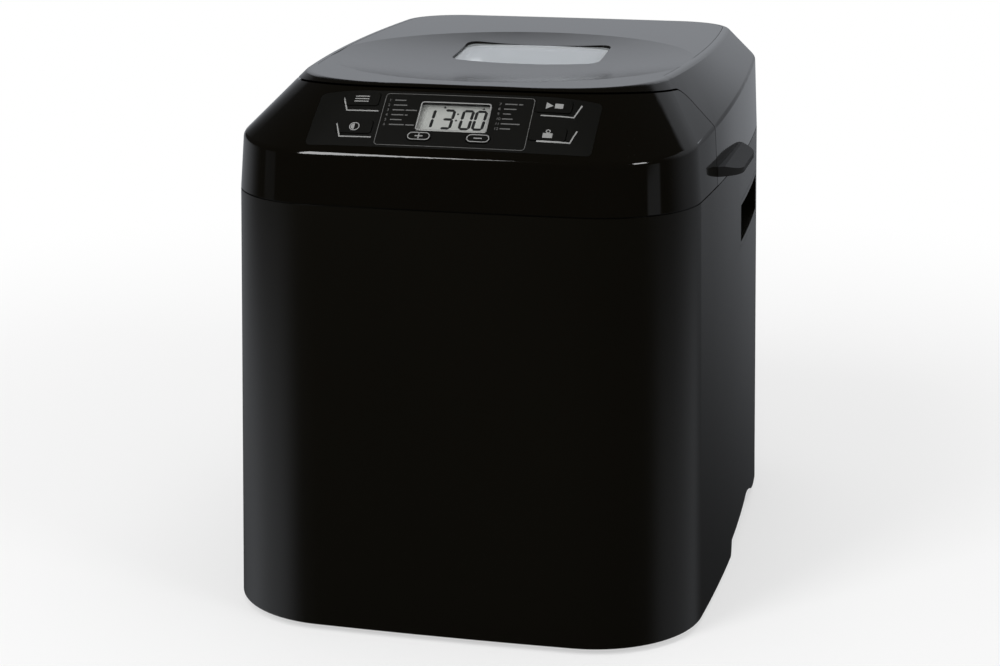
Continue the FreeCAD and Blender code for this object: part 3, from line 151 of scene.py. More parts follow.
behind = ramp(tree, along, *WALL_DEPTH)
top_place = chain(tree, "SUBTRACT", up, chain(tree, "MULTIPLY", across, WALL_TOP_SLOPE))
under_top = ramp(tree, top_place, *WALL_TOP)
corner_foot = ramp(tree, up, *CORNER_FOOT)
off_corner = chain(tree, "MAXIMUM", ramp(tree, across, *CORNER_LEFT), corner_foot)
lower_part = ramp(tree, up, *WALL_LOWER)
upper_part = ramp(tree, up, *WALL_UPPER, smooth=False)
right_fade = ramp(tree, across, *WALL_RIGHT)
wall_level = chain(tree, "ADD", lower_part, upper_part)
wall_glow = chain(tree, "MULTIPLY", wall_level, behind, under_top, off_corner, right_fade)
print("wall level at most", round(WALL_LOWER[3] + WALL_UPPER[3], 2))

# %% [markdown]
# The upright sides mirror the floor beside the machine. It is pale up to a soft horizon, more so
# on the left, and it gives the sides their slow run from dark to light. The sheet that is made
# below could be mirrored instead, but it would turn the front pale as well.

# %% Floor that the sides mirror
FLOOR_LEFT = (-0.75, -0.40, 0.55, 0.0)
FLOOR_LEFT_FRONT = (-0.85, -0.40, 0.0, 1.0)
FLOOR_LEFT_BACK = (0.05, 0.70, 1.0, 0.25)
FLOOR_RIGHT = (0.35, 0.70, 0.0, 0.24)
FLOOR_RIGHT_FRONT = (-0.35, 0.0, 0.0, 1.0)
FLOOR_HORIZON = (-0.27, -0.17, 1.0, 0.0)

left_floor = chain(tree, "MULTIPLY", ramp(tree, across, *FLOOR_LEFT),
                   ramp(tree, along, *FLOOR_LEFT_FRONT), ramp(tree, along, *FLOOR_LEFT_BACK))
right_floor = chain(tree, "MULTIPLY", ramp(tree, across, *FLOOR_RIGHT),
                    ramp(tree, along, *FLOOR_RIGHT_FRONT))
floor_glow = chain(tree, "MULTIPLY", chain(tree, "ADD", left_floor, right_floor),
                   ramp(tree, up, *FLOOR_HORIZON))
print("floor level, left", FLOOR_LEFT[2], "right", FLOOR_RIGHT[3])

# %% [markdown]
# Two dim panes, low down and far out to the right and the left, put a faint patch of light on the
# gloss where it turns round the corners. Lamps could stand there too, but a lamp would also light
# the matte surfaces.

# %% Panes that the corners mirror
PANE_RIGHT = (0.84, 0.90, 0.0, 0.20)
PANE_LEFT = (-0.90, -0.84, 0.06, 0.0)
PANE_FRONT = (-0.42, -0.36, 0.0, 1.0)
PANE_BACK = (-0.16, -0.10, 1.0, 0.0)
PANE_FOOT = (-0.10, -0.08, 0.0, 1.0)
PANE_TOP = (-0.042, -0.034, 1.0, 0.0)

sideways = chain(tree, "ADD", ramp(tree, across, *PANE_RIGHT), ramp(tree, across, *PANE_LEFT))
pane_glow = chain(tree, "MULTIPLY", sideways,
                  ramp(tree, along, *PANE_FRONT), ramp(tree, along, *PANE_BACK),
                  ramp(tree, up, *PANE_FOOT), ramp(tree, up, *PANE_TOP))
print("pane level, left", PANE_LEFT[2], "right", PANE_RIGHT[3])

# %% [markdown]
# The world then tells the rays apart. A ray from the camera meets plain white, a mirrored ray or
# one that went through glass meets the room, and the rays that light matte surfaces meet an even
# light. One background for all of them would be simpler, but black gloss in a white room is grey.

# %% What each kind of ray meets
AMBIENT = 0.40
DARK_ROOM = 0.025
ROOM_COLOUR = (0.94, 0.98, 1.05, 1)
WHITE = (1, 1, 1, 1)

mirrored = add(tree, "ShaderNodeBackground", Color=ROOM_COLOUR)
room_level = chain(tree, "ADD", wall_glow, floor_glow, pane_glow, DARK_ROOM)
plain_white = add(tree, "ShaderNodeBackground", Color=WHITE, Strength=1.0)
even_light = add(tree, "ShaderNodeBackground", Color=WHITE, Strength=AMBIENT)
rays = add(tree, "ShaderNodeLightPath")
seen = add(tree, "ShaderNodeMixShader")
lit = add(tree, "ShaderNodeMixShader")
direct = chain(tree, "MAXIMUM", rays.outputs["Is Camera Ray"], rays.outputs["Is Glossy Ray"],
               rays.outputs["Is Transmission Ray"])
world_out = add(tree, "ShaderNodeOutputWorld")
wire(tree, (room_level, mirrored.inputs["Strength"]),
     (rays.outputs["Is Camera Ray"], seen.inputs[0]), (mirrored.outputs[0], seen.inputs[1]),
     (plain_white.outputs[0], seen.inputs[2]), (direct, lit.inputs[0]),
     (even_light.outputs[0], lit.inputs[1]), (seen.outputs[0], lit.inputs[2]),
     (lit.outputs[0], world_out.inputs[0]))
print("room nodes", len(tree.nodes))

# %% [markdown]
# ## Lamps
# Three soft lamps finish the light. A tall one in front, left of the camera and above it, draws
# the bright line on the rounded edge between the slope and the band, and a small one on the right
# draws a short line where that edge turns round the corner. A wide one overhead gives the floor
# its soft shadow, and is kept out of mirrored rays, because the slope mirrors the ceiling and has
# to stay dark. Point lamps would be simpler, but gloss would show them as small dots.

# %% Lamps
EDGE_TARGET = (-0.01, -0.15, 0.228)
CORNER_TARGET = (0.087, -0.140, 0.228)
BODY_TARGET = (0, 0, 0.1)


def lamp(name, place, target, size, power, mirrored_too):
    """Rectangular soft lamp that is aimed at a point."""
    data = bpy.data.lights.new(name, "AREA")
    data.shape = "RECTANGLE"
    data.size, data.size_y = size
    data.energy = power
    light = bpy.data.objects.new(name, data)
    light.location = place
    aim = Vector(target) - Vector(place)
    light.rotation_euler = aim.to_track_quat("-Z", "Y").to_euler()
    light.visible_glossy = mirrored_too
    scene.collection.objects.link(light)
    print("lamp", name, "power", power)


lamp("front_softbox", place=(-0.99, -1.74, 1.70), target=EDGE_TARGET, size=(0.68, 1.50),
     power=31.0, mirrored_too=True)
lamp("right_softbox", place=(1.57, -0.92, 1.31), target=CORNER_TARGET, size=(0.52, 0.50),
     power=8.0, mirrored_too=True)
lamp("overhead_softbox", place=(0.2, 0.1, 2.2), target=BODY_TARGET, size=(1.6, 1.6),
     power=18.0, mirrored_too=False)

# %% [markdown]
# ## Floor
# The machine stands on a large pale sheet. Near the machine it takes the shadow, and further away
# it fades to the white of the background, so that no horizon shows. A curved backdrop would hide
# the horizon as well, but it would stand in the way of a view from behind.

# %% Floor
FLOOR_HALF = 6.0
FLOOR_FADE = (0.25, 0.85)
FLOOR_SHADOW = 0.45
PAPER_COLOUR = (0.82, 0.82, 0.82, 1)


def new_material(name, **sockets):
    """Material with its node tree and its shader, and values for the shader's sockets."""
    material = bpy.data.materials.new(name)
    material.use_nodes = True
    shader = material.node_tree.nodes["Principled BSDF"]
    for socket, value in sockets.items():
        shader.inputs[socket.replace("_", " ")].default_value = value
    return material, material.node_tree, shader


bm = bmesh.new()
bmesh.ops.create_grid(bm, x_segments=1, y_segments=1, size=FLOOR_HALF)
floor_mesh = bpy.data.meshes.new("floor")
bm.to_mesh(floor_mesh)
bm.free()
floor = bpy.data.objects.new("floor", floor_mesh)
scene.collection.objects.link(floor)
floor.visible_glossy = False

paper, tree, sheet = new_material("pale_paper", Base_Color=PAPER_COLOUR, Roughness=1.0,
                                  Specular_IOR_Level=0.0)
glow = add(tree, "ShaderNodeEmission", Color=WHITE, Strength=1.0)
place = add(tree, "ShaderNodeTexCoord")
away = add(tree, "ShaderNodeVectorMath", operation="LENGTH")
blend = add(tree, "ShaderNodeMixShader")
fade = ramp(tree, away.outputs["Value"], *FLOOR_FADE, 1 - FLOOR_SHADOW, 1.0)
wire(tree, (place.outputs["Object"], away.inputs[0]), (fade, blend.inputs[0]),
     (sheet.outputs[0], blend.inputs[1]), (glow.outputs[0], blend.inputs[2]),
     (blend.outputs[0], tree.nodes["Material Output"].inputs["Surface"]))
floor_mesh.materials.append(paper)
print("floor", FLOOR_HALF * 2, "m wide")

# %% [markdown]
# ## Shared effects
# Moulded plastic is never one even tone: the tool leaves a fine spark-eroded grain, and the sheen
# drifts slowly over a large face. Each material could have its own noises, but one node group
# makes both, so that a material only chooses its amounts. Drawn or brushed metal has the same
# grain, drawn out into lines, and a non-stick coat has it thinned out to flecks.

# %% Small node steps
HALF = 0.5


def group(name, inputs, outputs):
    """Empty node group with its sockets; returns it with its two end nodes."""
    made = bpy.data.node_groups.new(name, "ShaderNodeTree")
    for socket, kind, value in inputs:
        item = made.interface.new_socket(name=socket, in_out="INPUT",
                                         socket_type="NodeSocket" + kind)
        if value is not None:
            item.default_value = value
    for socket, kind in outputs:
        made.interface.new_socket(name=socket, in_out="OUTPUT", socket_type="NodeSocket" + kind)
    return made, made.nodes.new("NodeGroupInput"), made.nodes.new("NodeGroupOutput")


def spread(tree, noise, base, amount):
    """Base value, moved up and down by a noise that runs from 0 to 1."""
    centred = chain(tree, "SUBTRACT", noise, HALF)
    return chain(tree, "ADD", base, chain(tree, "MULTIPLY", centred, amount))


def tinted(tree, colour, factor):
    """Colour made lighter or darker by a factor."""
    node = add(tree, "ShaderNodeVectorMath", operation="SCALE")
    wire(tree, (colour, node.inputs[0]), (factor, node.inputs["Scale"]))
    return node.outputs[0]


print("small node steps", [step.__name__ for step in (group, spread, tinted)])

# %% Grain and drift
FINISH_INPUTS = (
    ("Vector", "Vector", None),
    ("Color", "Color", (0.5, 0.5, 0.5, 1)),
    ("Grain Scale", "Float", 900.0),
    ("Drift Scale", "Float", 9.0),
    ("Tone", "Float", 0.3),
    ("Roughness", "Float", 0.4),
    ("Sheen Drift", "Float", 0.1),
)
FINISH_OUTPUTS = (("Color", "Color"), ("Roughness", "Float"), ("Height", "Float"))
EVEN = (1, 1, 1)
LINE_STRETCH = 0.03
FLECK_EDGE = (0.60, 0.68)


def finish_group(name, stretch, fleck):
    """Two noises; stretch draws the grain out into lines, fleck makes it sparse."""
    made, start, end = group(name, FINISH_INPUTS, FINISH_OUTPUTS)
    turned = add(made, "ShaderNodeMapping", Scale=stretch)
    grain = add(made, "ShaderNodeTexNoise", Detail=3.0)
    drift = add(made, "ShaderNodeTexNoise", Detail=2.0)
    wire(made, (start.outputs["Vector"], turned.inputs[0]),
         (turned.outputs[0], grain.inputs["Vector"]),
         (start.outputs["Grain Scale"], grain.inputs["Scale"]),
         (start.outputs["Vector"], drift.inputs["Vector"]),
         (start.outputs["Drift Scale"], drift.inputs["Scale"]))
    fine = grain.outputs[0]
    if fleck:
        fine = ramp(made, fine, *FLECK_EDGE, 0.0, 1.0)
    both = chain(made, "MULTIPLY", chain(made, "ADD", fine, drift.outputs[0]), HALF)
    factor = spread(made, both, 1.0, start.outputs["Tone"])
    rough = spread(made, both, start.outputs["Roughness"], start.outputs["Sheen Drift"])
    wire(made, (tinted(made, start.outputs["Color"], factor), end.inputs["Color"]),
         (rough, end.inputs["Roughness"]), (fine, end.inputs["Height"]))
    return made


moulded_skin = finish_group("moulded_skin", EVEN, False)
lines_along_x = finish_group("lines_along_x", (LINE_STRETCH, 1, 1), False)
lines_along_z = finish_group("lines_along_z", (1, 1, LINE_STRETCH), False)
flecked_coat = finish_group("flecked_coat", EVEN, True)
print("groups", [g.name for g in bpy.data.node_groups])

# %% [markdown]
# ## Finishes
# Each finish is a Principled shader fed by one of the groups: colour, roughness and a very shallow
# bump vary over the surface. What is the same all over could pass through the group as well, but
# it stays on the shader's own sockets, where every export finds it.

# %% Finish maker
MICRON = 0.000001


def finish(name, effect, colour, roughness, grain=900.0, drift=9.0, tone=0.3, sheen=0.08,
           bump=30 * MICRON, **fixed):
    """Material from a shared effect; fixed values go straight onto the shader's sockets."""
    material, tree, shader = new_material(name, **fixed)
    place = add(tree, "ShaderNodeTexCoord")
    skin = tree.nodes.new("ShaderNodeGroup")
    skin.node_tree = effect
    amounts = (("Color", (*colour, 1)), ("Grain Scale", grain), ("Drift Scale", drift),
               ("Tone", tone), ("Roughness", roughness), ("Sheen Drift", sheen))
    for socket, value in amounts:
        skin.inputs[socket].default_value = value
    relief = add(tree, "ShaderNodeBump", Strength=1.0, Distance=bump)
    wire(tree, (place.outputs["Object"], skin.inputs["Vector"]),
         (skin.outputs["Color"], shader.inputs["Base Color"]),
         (skin.outputs["Roughness"], shader.inputs["Roughness"]),
         (skin.outputs["Height"], relief.inputs["Height"]),
         (relief.outputs["Normal"], shader.inputs["Normal"]))
    return material


print("a finish sets", [socket for socket, kind, value in FINISH_INPUTS[1:]])

# %% [markdown]
# Body, tabs, console and lid are moulded in black, and differ in how far the tool was polished. A
# clear coat over a rough base could give the gloss, but these mouldings carry no lacquer, so a low
# roughness alone is closer to the real thing. The colour is nearly zero: what they mirror brings
# the light.

# %% Black plastics
body_black = finish("body_black", moulded_skin, (0.0022, 0.0017, 0.0006), roughness=0.25,
                    grain=1400, tone=0.5, bump=20 * MICRON, Specular_IOR_Level=0.46)
tab_black = finish("tab_black", moulded_skin, (0.012, 0.012, 0.012), roughness=0.45,
                   grain=1400, tone=0.4, Specular_IOR_Level=0.07)
gloss_black = finish("gloss_black", moulded_skin, (0.0022, 0.0017, 0.0008), roughness=0.06,
                     grain=260, drift=14, sheen=0.03, bump=0.6 * MICRON, Specular_IOR_Level=0.5)
lid_black = finish("lid_black", moulded_skin, (0.0022, 0.0017, 0.0008), roughness=0.15,
                   grain=260, drift=14, sheen=0.03, bump=0.6 * MICRON, Specular_IOR_Level=0.5)
print("black plastics", [m.name for m in (body_black, tab_black, gloss_black, lid_black)])

# %% [markdown]
# The key panel is a satin film, and its keys are caps of nearly the same grey. Ink lies on both:
# silver for the signs and brackets, a darker grey for the fine lines. The display is pale grey
# with dark ink. The inks could glow a little to stand out, but real ink only reflects.

# %% Film, keys and inks
film_grey = finish("film_grey", moulded_skin, (0.0034, 0.0033, 0.0026), roughness=0.38,
                   grain=2200, bump=8 * MICRON, Specular_IOR_Level=0.30)
key_grey = finish("key_grey", moulded_skin, (0.0038, 0.0037, 0.0030), roughness=0.34,
                  grain=2200, bump=8 * MICRON, Specular_IOR_Level=0.30)
print_silver = finish("print_silver", moulded_skin, (0.23, 0.23, 0.225), roughness=0.38,
                      grain=3000, tone=0.15, bump=4 * MICRON)
print_grey = finish("print_grey", moulded_skin, (0.095, 0.095, 0.092), roughness=0.45,
                    grain=3000, tone=0.15, bump=4 * MICRON)
display_grey = finish("display_grey", moulded_skin, (0.40, 0.41, 0.39), roughness=0.45,
                      grain=4000, tone=0.08, bump=2 * MICRON)
display_ink = finish("display_ink", moulded_skin, (0.006, 0.006, 0.0065), roughness=0.5,
                     grain=4000, tone=0.2, bump=2 * MICRON)
print("inks", [m.name for m in (print_silver, print_grey, display_ink)])

# %% [markdown]
# Feet, belt and the cord's gland are rubber, and the window lies on a pale silicone seal. Both are
# soft and matt. A sheen layer could soften them further, but on pieces this small a high roughness
# and a deeper grain are enough.

# %% Rubber and seal
rubber_black = finish("rubber_black", moulded_skin, (0.020, 0.020, 0.020), roughness=0.72,
                      grain=1100, tone=0.5, bump=60 * MICRON)
seal_grey = finish("seal_grey", moulded_skin, (0.30, 0.30, 0.31), roughness=0.65,
                   grain=1100, tone=0.25, bump=40 * MICRON)
print("soft finishes", [m.name for m in (rubber_black, seal_grey)])

# %% [markdown]
# Screws, shafts and the pan's handle are drawn steel, and the oven and the lid's liner are bright
# sheet. Anisotropy could draw out their gloss, but lines in colour and bump survive an export
# better. The pan has a dark coat with fine flecks, the heater has gone dull and dark, and the
# bearings are bronze.

# %% Metals and the coated pan
steel = finish("steel", lines_along_x, (0.56, 0.56, 0.57), roughness=0.30,
               grain=700, tone=0.25, sheen=0.15, bump=10 * MICRON, Metallic=1.0)
sheet_bright = finish("sheet_bright", lines_along_z, (0.66, 0.67, 0.68), roughness=0.34,
                      grain=600, tone=0.2, sheen=0.15, bump=10 * MICRON, Metallic=1.0)
nonstick = finish("nonstick", flecked_coat, (0.035, 0.035, 0.037), roughness=0.42,
                  tone=0.9, sheen=0.12, bump=20 * MICRON)
heater_dark = finish("heater_dark", moulded_skin, (0.055, 0.048, 0.045), roughness=0.55,
                     grain=700, tone=0.7, sheen=0.2, Metallic=0.6)
bronze = finish("bronze", lines_along_x, (0.52, 0.36, 0.16), roughness=0.33,
                bump=10 * MICRON, Metallic=1.0)
print("metals", [m.name for m in (steel, sheet_bright, heater_dark, bronze)])

# %% [markdown]
# Inside the covers are two circuit boards in green lacquer, grey switches and cream pulleys.
# Copper tracks could be drawn on the boards, but all of this is seldom seen, so plain mouldings
# and a flecked green are enough.

# %% Boards and inner plastics
board_green = finish("board_green", flecked_coat, (0.012, 0.10, 0.035), roughness=0.32,
                     grain=500, tone=0.6)
switch_grey = finish("switch_grey", moulded_skin, (0.28, 0.28, 0.29), roughness=0.5,
                     grain=1500, tone=0.2)
pulley_cream = finish("pulley_cream", moulded_skin, (0.60, 0.58, 0.52), roughness=0.5,
                      grain=1000, tone=0.2)
print("inner finishes", [m.name for m in (board_green, switch_grey, pulley_cream)])

# %% [markdown]
# The lid's window is thick clear plastic, and the display lies under a thin lens. The window lets
# light through as glass does. The lens could be glass too, but glass keeps lamp light off what
# lies close under it, so the lens is nearly see-through instead. Both have plain values only, so
# that they stay clear wherever the model goes.

# %% Clear plastics
def clear(name, colour, **sockets):
    """Material of plain values, without any pattern."""
    return new_material(name, Base_Color=(*colour, 1), **sockets)[0]


window_clear = clear("window_clear", (0.81, 0.85, 0.87), Roughness=0.04,
                     Transmission_Weight=0.75, IOR=1.5)
display_clear = clear("display_clear", (0.03, 0.03, 0.03), Roughness=0.05, Alpha=0.06)
print("finishes", len(bpy.data.materials))

# %% [markdown]
# ## Dress the CAD solids
# A CAD object keeps its mesh and only gets a material. That could be done object by object, but
# one table that pairs each finish with the solids that wear it is easier to read and to check.

# %% Materials on the solids
WEARS = {
    body_black: ("housing", "rear_cover", "base_tray", "grip_cup_right", "grip_cup_left",
                 "top_deck"),
    tab_black: ("lid_tab_right", "lid_tab_left"),
    gloss_black: ("console", "lid_shell"),
    lid_black: ("lid_top_panel",),
    film_grey: ("control_panel",),
    key_grey: ("key_menu", "key_crust", "key_start", "key_weight", "key_plus", "key_minus"),
    display_grey: ("lcd_module",),
    display_clear: ("lcd_lens",),
    window_clear: ("lid_window",),
    board_green: ("control_board", "power_board"),
    switch_grey: ("key_switches", "thermal_fuse"),
    steel: ("rear_cover_screws", "base_screws", "lid_screws", "hinge_pins", "heater_clips",
            "temperature_sensor", "drive_shaft", "drive_coupler", "motor", "motor_shaft",
            "pan_handle", "pan_shaft"),
    sheet_bright: ("oven_liner", "lid_liner", "pan_seat", "motor_capacitor", "chassis_bracket"),
    nonstick: ("bread_pan", "kneading_paddle"),
    heater_dark: ("heating_element",),
    pulley_cream: ("drive_pulley", "motor_pulley"),
    rubber_black: ("feet", "drive_belt", "cord_gland"),
    seal_grey: ("window_gasket",),
    bronze: ("drive_bearing", "pan_bearing"),
}
dressed = 0
for material, names in WEARS.items():
    for name in names:
        slots = nodes[name].data.materials
        slots.clear()
        slots.append(material)
        dressed += 1
print("dressed", dressed, "of", len(nodes), "solids")

# %% [markdown]
# ## Printing on the key panel
# The panel is a printed film. Its marks could be painted by a texture, but then they would blur
# close up and be missing from the meshes. Here each mark is a very thin closed solid, drawn flat
# in mm across and up the slope, and then let down onto the film: a ray from above each corner
# finds the surface, which is slightly bowed.

# %% Panel plane
SLOPE_FOOT = Vector((0, -149.295 * MM, 227.5 * MM))
SLOPE_RISE = 27.5
SLOPE_RUN = 33.5
SLOPE_ANGLE = math.atan2(SLOPE_RISE, SLOPE_RUN)
UP_SLOPE = Vector((0, math.cos(SLOPE_ANGLE), math.sin(SLOPE_ANGLE)))
OFF_SLOPE = Vector((0, -math.sin(SLOPE_ANGLE), math.cos(SLOPE_ANGLE)))
RAY_START = 20 * MM


def surface_of(name):
    """Search tree over a solid's faces, for rays to hit."""
    mesh = nodes[name].data
    return BVHTree.FromPolygons([v.co for v in mesh.vertices],
                                [p.vertices for p in mesh.polygons])


def let_down(bm, carrier):
    """Moves a flat mesh, drawn in mm across and up the slope, onto the solid that carries it."""
    below = surface_of(carrier)
    for vert in bm.verts:
        flat = SLOPE_FOOT + Vector((vert.co.x * MM, 0, 0)) + UP_SLOPE * (vert.co.y * MM)
        hit = below.ray_cast(flat + OFF_SLOPE * RAY_START, -OFF_SLOPE)[0]
        vert.co = (hit or flat) + OFF_SLOPE * (vert.co.z * MM)


def keep(bm, name, material, body):
    """Closes a bmesh into a finished piece that rides on a body."""
    bmesh.ops.recalc_face_normals(bm, faces=bm.faces[:])
    mesh = bpy.data.meshes.new(name)
    bm.to_mesh(mesh)
    bm.free()
    mesh.materials.append(material)
    piece = bpy.data.objects.new(name, mesh)
    scene.collection.objects.link(piece)
    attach(piece, body)
    print("piece", name, "faces", len(mesh.polygons))


print("slope", round(math.degrees(SLOPE_ANGLE), 1), "degrees")

# %% [markdown]
# A thin silver bracket stands below and beside each of the four large keys, two on the left and,
# mirror-wise, two on the right. A bevelled curve could follow each bent line, but a flat bar for
# every straight run is lighter and keeps its corners sharp. A few cuts let it follow the bow.

# %% Brackets beside the keys
INK = 0.05
BRACKETS = (
    ((-53.0, 33.4), (-50.3, 26.4), (-35.7, 26.4)),
    ((-53.0, 17.9), (-50.4, 10.8), (-35.9, 10.9)),
    ((39.8, 27.6), (54.4, 27.4), (56.8, 35.0)),
    ((40.4, 12.5), (55.0, 12.3), (57.1, 19.2)),
)
BRACKET_LINE = 0.65
BRACKET_CUTS = 2


def bar(bm, start, end, width, cuts=0):
    """Thin flat bar from start to end, in the panel's plane."""
    start, end = Vector(start), Vector(end)
    run = end - start
    turn = Matrix.Rotation(math.atan2(run.y, run.x), 4, "Z")
    middle = (start + end) / 2
    place = Matrix.Translation((middle.x, middle.y, INK / 2)) @ turn
    size = Matrix.Diagonal((run.length + width, width, INK, 1))
    made = bmesh.ops.create_cube(bm, size=1.0, matrix=place @ size)
    if cuts:
        edges = {e for v in made["verts"] for e in v.link_edges if e.calc_length() > run.length}
        bmesh.ops.subdivide_edges(bm, edges=list(edges), cuts=cuts, use_grid_fill=True)
    return made["verts"]


bm = bmesh.new()
for points in BRACKETS:
    for start, end in zip(points, points[1:]):
        bar(bm, start, end, BRACKET_LINE, cuts=BRACKET_CUTS)
let_down(bm, "control_panel")
keep(bm, "panel_brackets", print_silver, "base")

# %% [markdown]
# A fine line frames the middle of the panel, and a silver one runs round the display. Such a line
# could be two rectangles and a Boolean. Here one rectangle gets round corners by a bevel of its
# vertices, an inset leaves a narrow rim, and the rim is extruded, which keeps its faces even.

# %% Outline of a rectangle
LONG_EDGE = 4


def outline(bm, low, high, corner, line, segments=6, cuts=0):
    """Closed line round a rectangle with round corners."""
    place = Matrix.Translation(((low[0] + high[0]) / 2, (low[1] + high[1]) / 2, 0))
    size = Matrix.Diagonal((high[0] - low[0], high[1] - low[1], 1, 1))
    flat = bmesh.new()
    bmesh.ops.create_grid(flat, x_segments=1, y_segments=1, size=0.5, matrix=place @ size)
    bmesh.ops.bevel(flat, geom=flat.verts[:], offset=corner, segments=segments, profile=0.5,
                    affect="VERTICES", material=-1)
    bmesh.ops.inset_region(flat, faces=flat.faces[:], thickness=line, use_boundary=True,
                           use_even_offset=True)
    middle = max(flat.faces, key=lambda face: face.calc_area())
    bmesh.ops.delete(flat, geom=[middle], context="FACES")
    long_edges = [e for e in flat.edges if e.calc_length() > LONG_EDGE * corner]
    if cuts and long_edges:
        bmesh.ops.subdivide_edges(flat, edges=long_edges, cuts=cuts, use_grid_fill=True)
    lifted = bmesh.ops.extrude_face_region(flat, geom=flat.faces[:])
    bmesh.ops.translate(flat, vec=(0, 0, INK),
                        verts=[g for g in lifted["geom"] if isinstance(g, bmesh.types.BMVert)])
    joined = bpy.data.meshes.new("outline")
    flat.to_mesh(joined)
    flat.free()
    bm.from_mesh(joined)
    bpy.data.meshes.remove(joined)


print("an outline cuts edges longer than", LONG_EDGE, "corners")

# %% Frame round the display and the lists
FRAME_LOW = (-33.6, 6.6)
FRAME_HIGH = (35.6, 37.2)
FRAME_CORNER = 1.8
FRAME_LINE = 0.26

bm = bmesh.new()
outline(bm, FRAME_LOW, FRAME_HIGH, FRAME_CORNER, FRAME_LINE, cuts=10)
let_down(bm, "control_panel")
keep(bm, "panel_frame_line", print_grey, "base")

# %% Edge line of the display window
DISPLAY_LOW = (-16.3, 16.0)
DISPLAY_HIGH = (16.3, 33.0)
DISPLAY_CORNER = 1.4
DISPLAY_LINE = 0.55

bm = bmesh.new()
outline(bm, DISPLAY_LOW, DISPLAY_HIGH, DISPLAY_CORNER, DISPLAY_LINE, cuts=4)
let_down(bm, "lcd_lens")
keep(bm, "display_edge_line", print_silver, "base")

# %% [markdown]
# Two short lists stand beside the display: the numbers 1 to 12, each with one or two plain bars
# after it. The numerals could be built from bars as well, but Blender's own font gives them round
# shapes. A text curve is made a mesh before it is put in its place.

# %% Numerals
NUMERAL_STEPS = 3


def number_mesh(bm, text, x, s, size):
    """Numerals made a mesh, laid flat in the panel's plane."""
    curve = bpy.data.curves.new("numeral", "FONT")
    curve.body = text
    curve.size = size
    curve.resolution_u = NUMERAL_STEPS
    curve.extrude = INK / 2
    holder = bpy.data.objects.new("numeral", curve)
    scene.collection.objects.link(holder)
    bpy.context.view_layer.update()
    ready = holder.evaluated_get(bpy.context.evaluated_depsgraph_get())
    flat = bpy.data.meshes.new_from_object(ready)
    flat.transform(Matrix.Translation((x, s, INK / 2)))
    bm.from_mesh(flat)
    bpy.data.objects.remove(holder)
    bpy.data.curves.remove(curve)
    bpy.data.meshes.remove(flat)


print("numerals drawn in", NUMERAL_STEPS, "steps a curve")

# %% Program lists
LIST_ROWS = 6
LIST_TOP = 33.2
LIST_STEP = 2.9
LIST_LEFT = (-31.6, 19.6)
LIST_LETTER = 2.1
LETTER_DROP = 0.36
LIST_INDENT = 3.0
LIST_LINE = 0.62
LIST_GAP = 0.7
LIST_BARS = ((4.6,), (5.6,), (4.8, 4.6), (5.0, 0.6), (4.8,), (6.4, 3.4),
             (5.0, 1.2), (5.0,), (3.0,), (4.2,), (8.0,), (4.2,))
WELD = 0.0005

bm = bmesh.new()
for index, lengths in enumerate(LIST_BARS):
    left = LIST_LEFT[index // LIST_ROWS]
    s = LIST_TOP - (index % LIST_ROWS) * LIST_STEP
    number_mesh(bm, str(index + 1), left, s - LIST_LETTER * LETTER_DROP, LIST_LETTER)
    start = left + LIST_INDENT
    for length in lengths:
        bar(bm, (start, s), (start + length, s), LIST_LINE)
        start += length + LIST_LINE + LIST_GAP
bmesh.ops.remove_doubles(bm, verts=bm.verts[:], dist=WELD)
let_down(bm, "control_panel")
keep(bm, "program_lists", print_grey, "base")

# %% [markdown]
# The keys carry plain signs: lines for the menu, a half-filled disc for the crust, a triangle and
# a square for start and stop, a weight, and plus and minus on the small keys. They could be one
# printed piece, but each sign rides on its own key's cap, so that it goes in with the cap. All of
# them are drawn with bars, rings and flat prisms.

# %% Rings and prisms
ROUND_END = 0.01


def ring(bm, x, s, half_width, half_height, line, segments):
    """Outline with round ends, whose corners stop just short of meeting."""
    outline(bm, (x - half_width, s - half_height), (x + half_width, s + half_height),
            half_height - ROUND_END, line, segments=segments)


def polygon(bm, x, s, radius, sides, turn=0.0, stretch=(1, 1)):
    """Flat closed prism with a number of sides."""
    place = Matrix.Translation((x, s, INK / 2)) @ Matrix.Diagonal((*stretch, 1, 1))
    made = bmesh.ops.create_cone(bm, cap_ends=True, segments=sides, radius1=radius,
                                 radius2=radius, depth=INK,
                                 matrix=place @ Matrix.Rotation(turn, 4, "Z"))
    return made["verts"]


print("prints are", INK, "mm thick")

# %% Signs for menu and crust
SIGN_LINE = 0.55
SIGN_CUTS = 5
RING_LINE = 0.45
MENU_REACH = 3.1
MENU_STEP = 1.5
CRUST_RADIUS = 2.4
CRUST_FILL = 1.7
CRUST_SIDES = 32


def menu_sign(bm, x, s):
    """Three lines."""
    for step in (-MENU_STEP, 0.0, MENU_STEP):
        bar(bm, (x - MENU_REACH, s + step), (x + MENU_REACH, s + step), SIGN_LINE, cuts=SIGN_CUTS)


def crust_sign(bm, x, s):
    """Ring round half a disc; the disc is turned by half a side, so the cut meets no corner."""
    ring(bm, x, s, CRUST_RADIUS, CRUST_RADIUS, RING_LINE, segments=8)
    disc = polygon(bm, x, s, CRUST_FILL, CRUST_SIDES, turn=math.pi / CRUST_SIDES)
    geom = list({g for v in disc for g in (v, *v.link_edges, *v.link_faces)})
    cut = bmesh.ops.bisect_plane(bm, geom=geom, plane_co=(x, s, 0), plane_no=(1, 0, 0),
                                 clear_outer=True)
    edges = [g for g in cut["geom_cut"] if isinstance(g, bmesh.types.BMEdge)]
    bmesh.ops.holes_fill(bm, edges=edges)


print("crust disc cut from", CRUST_SIDES, "sides")

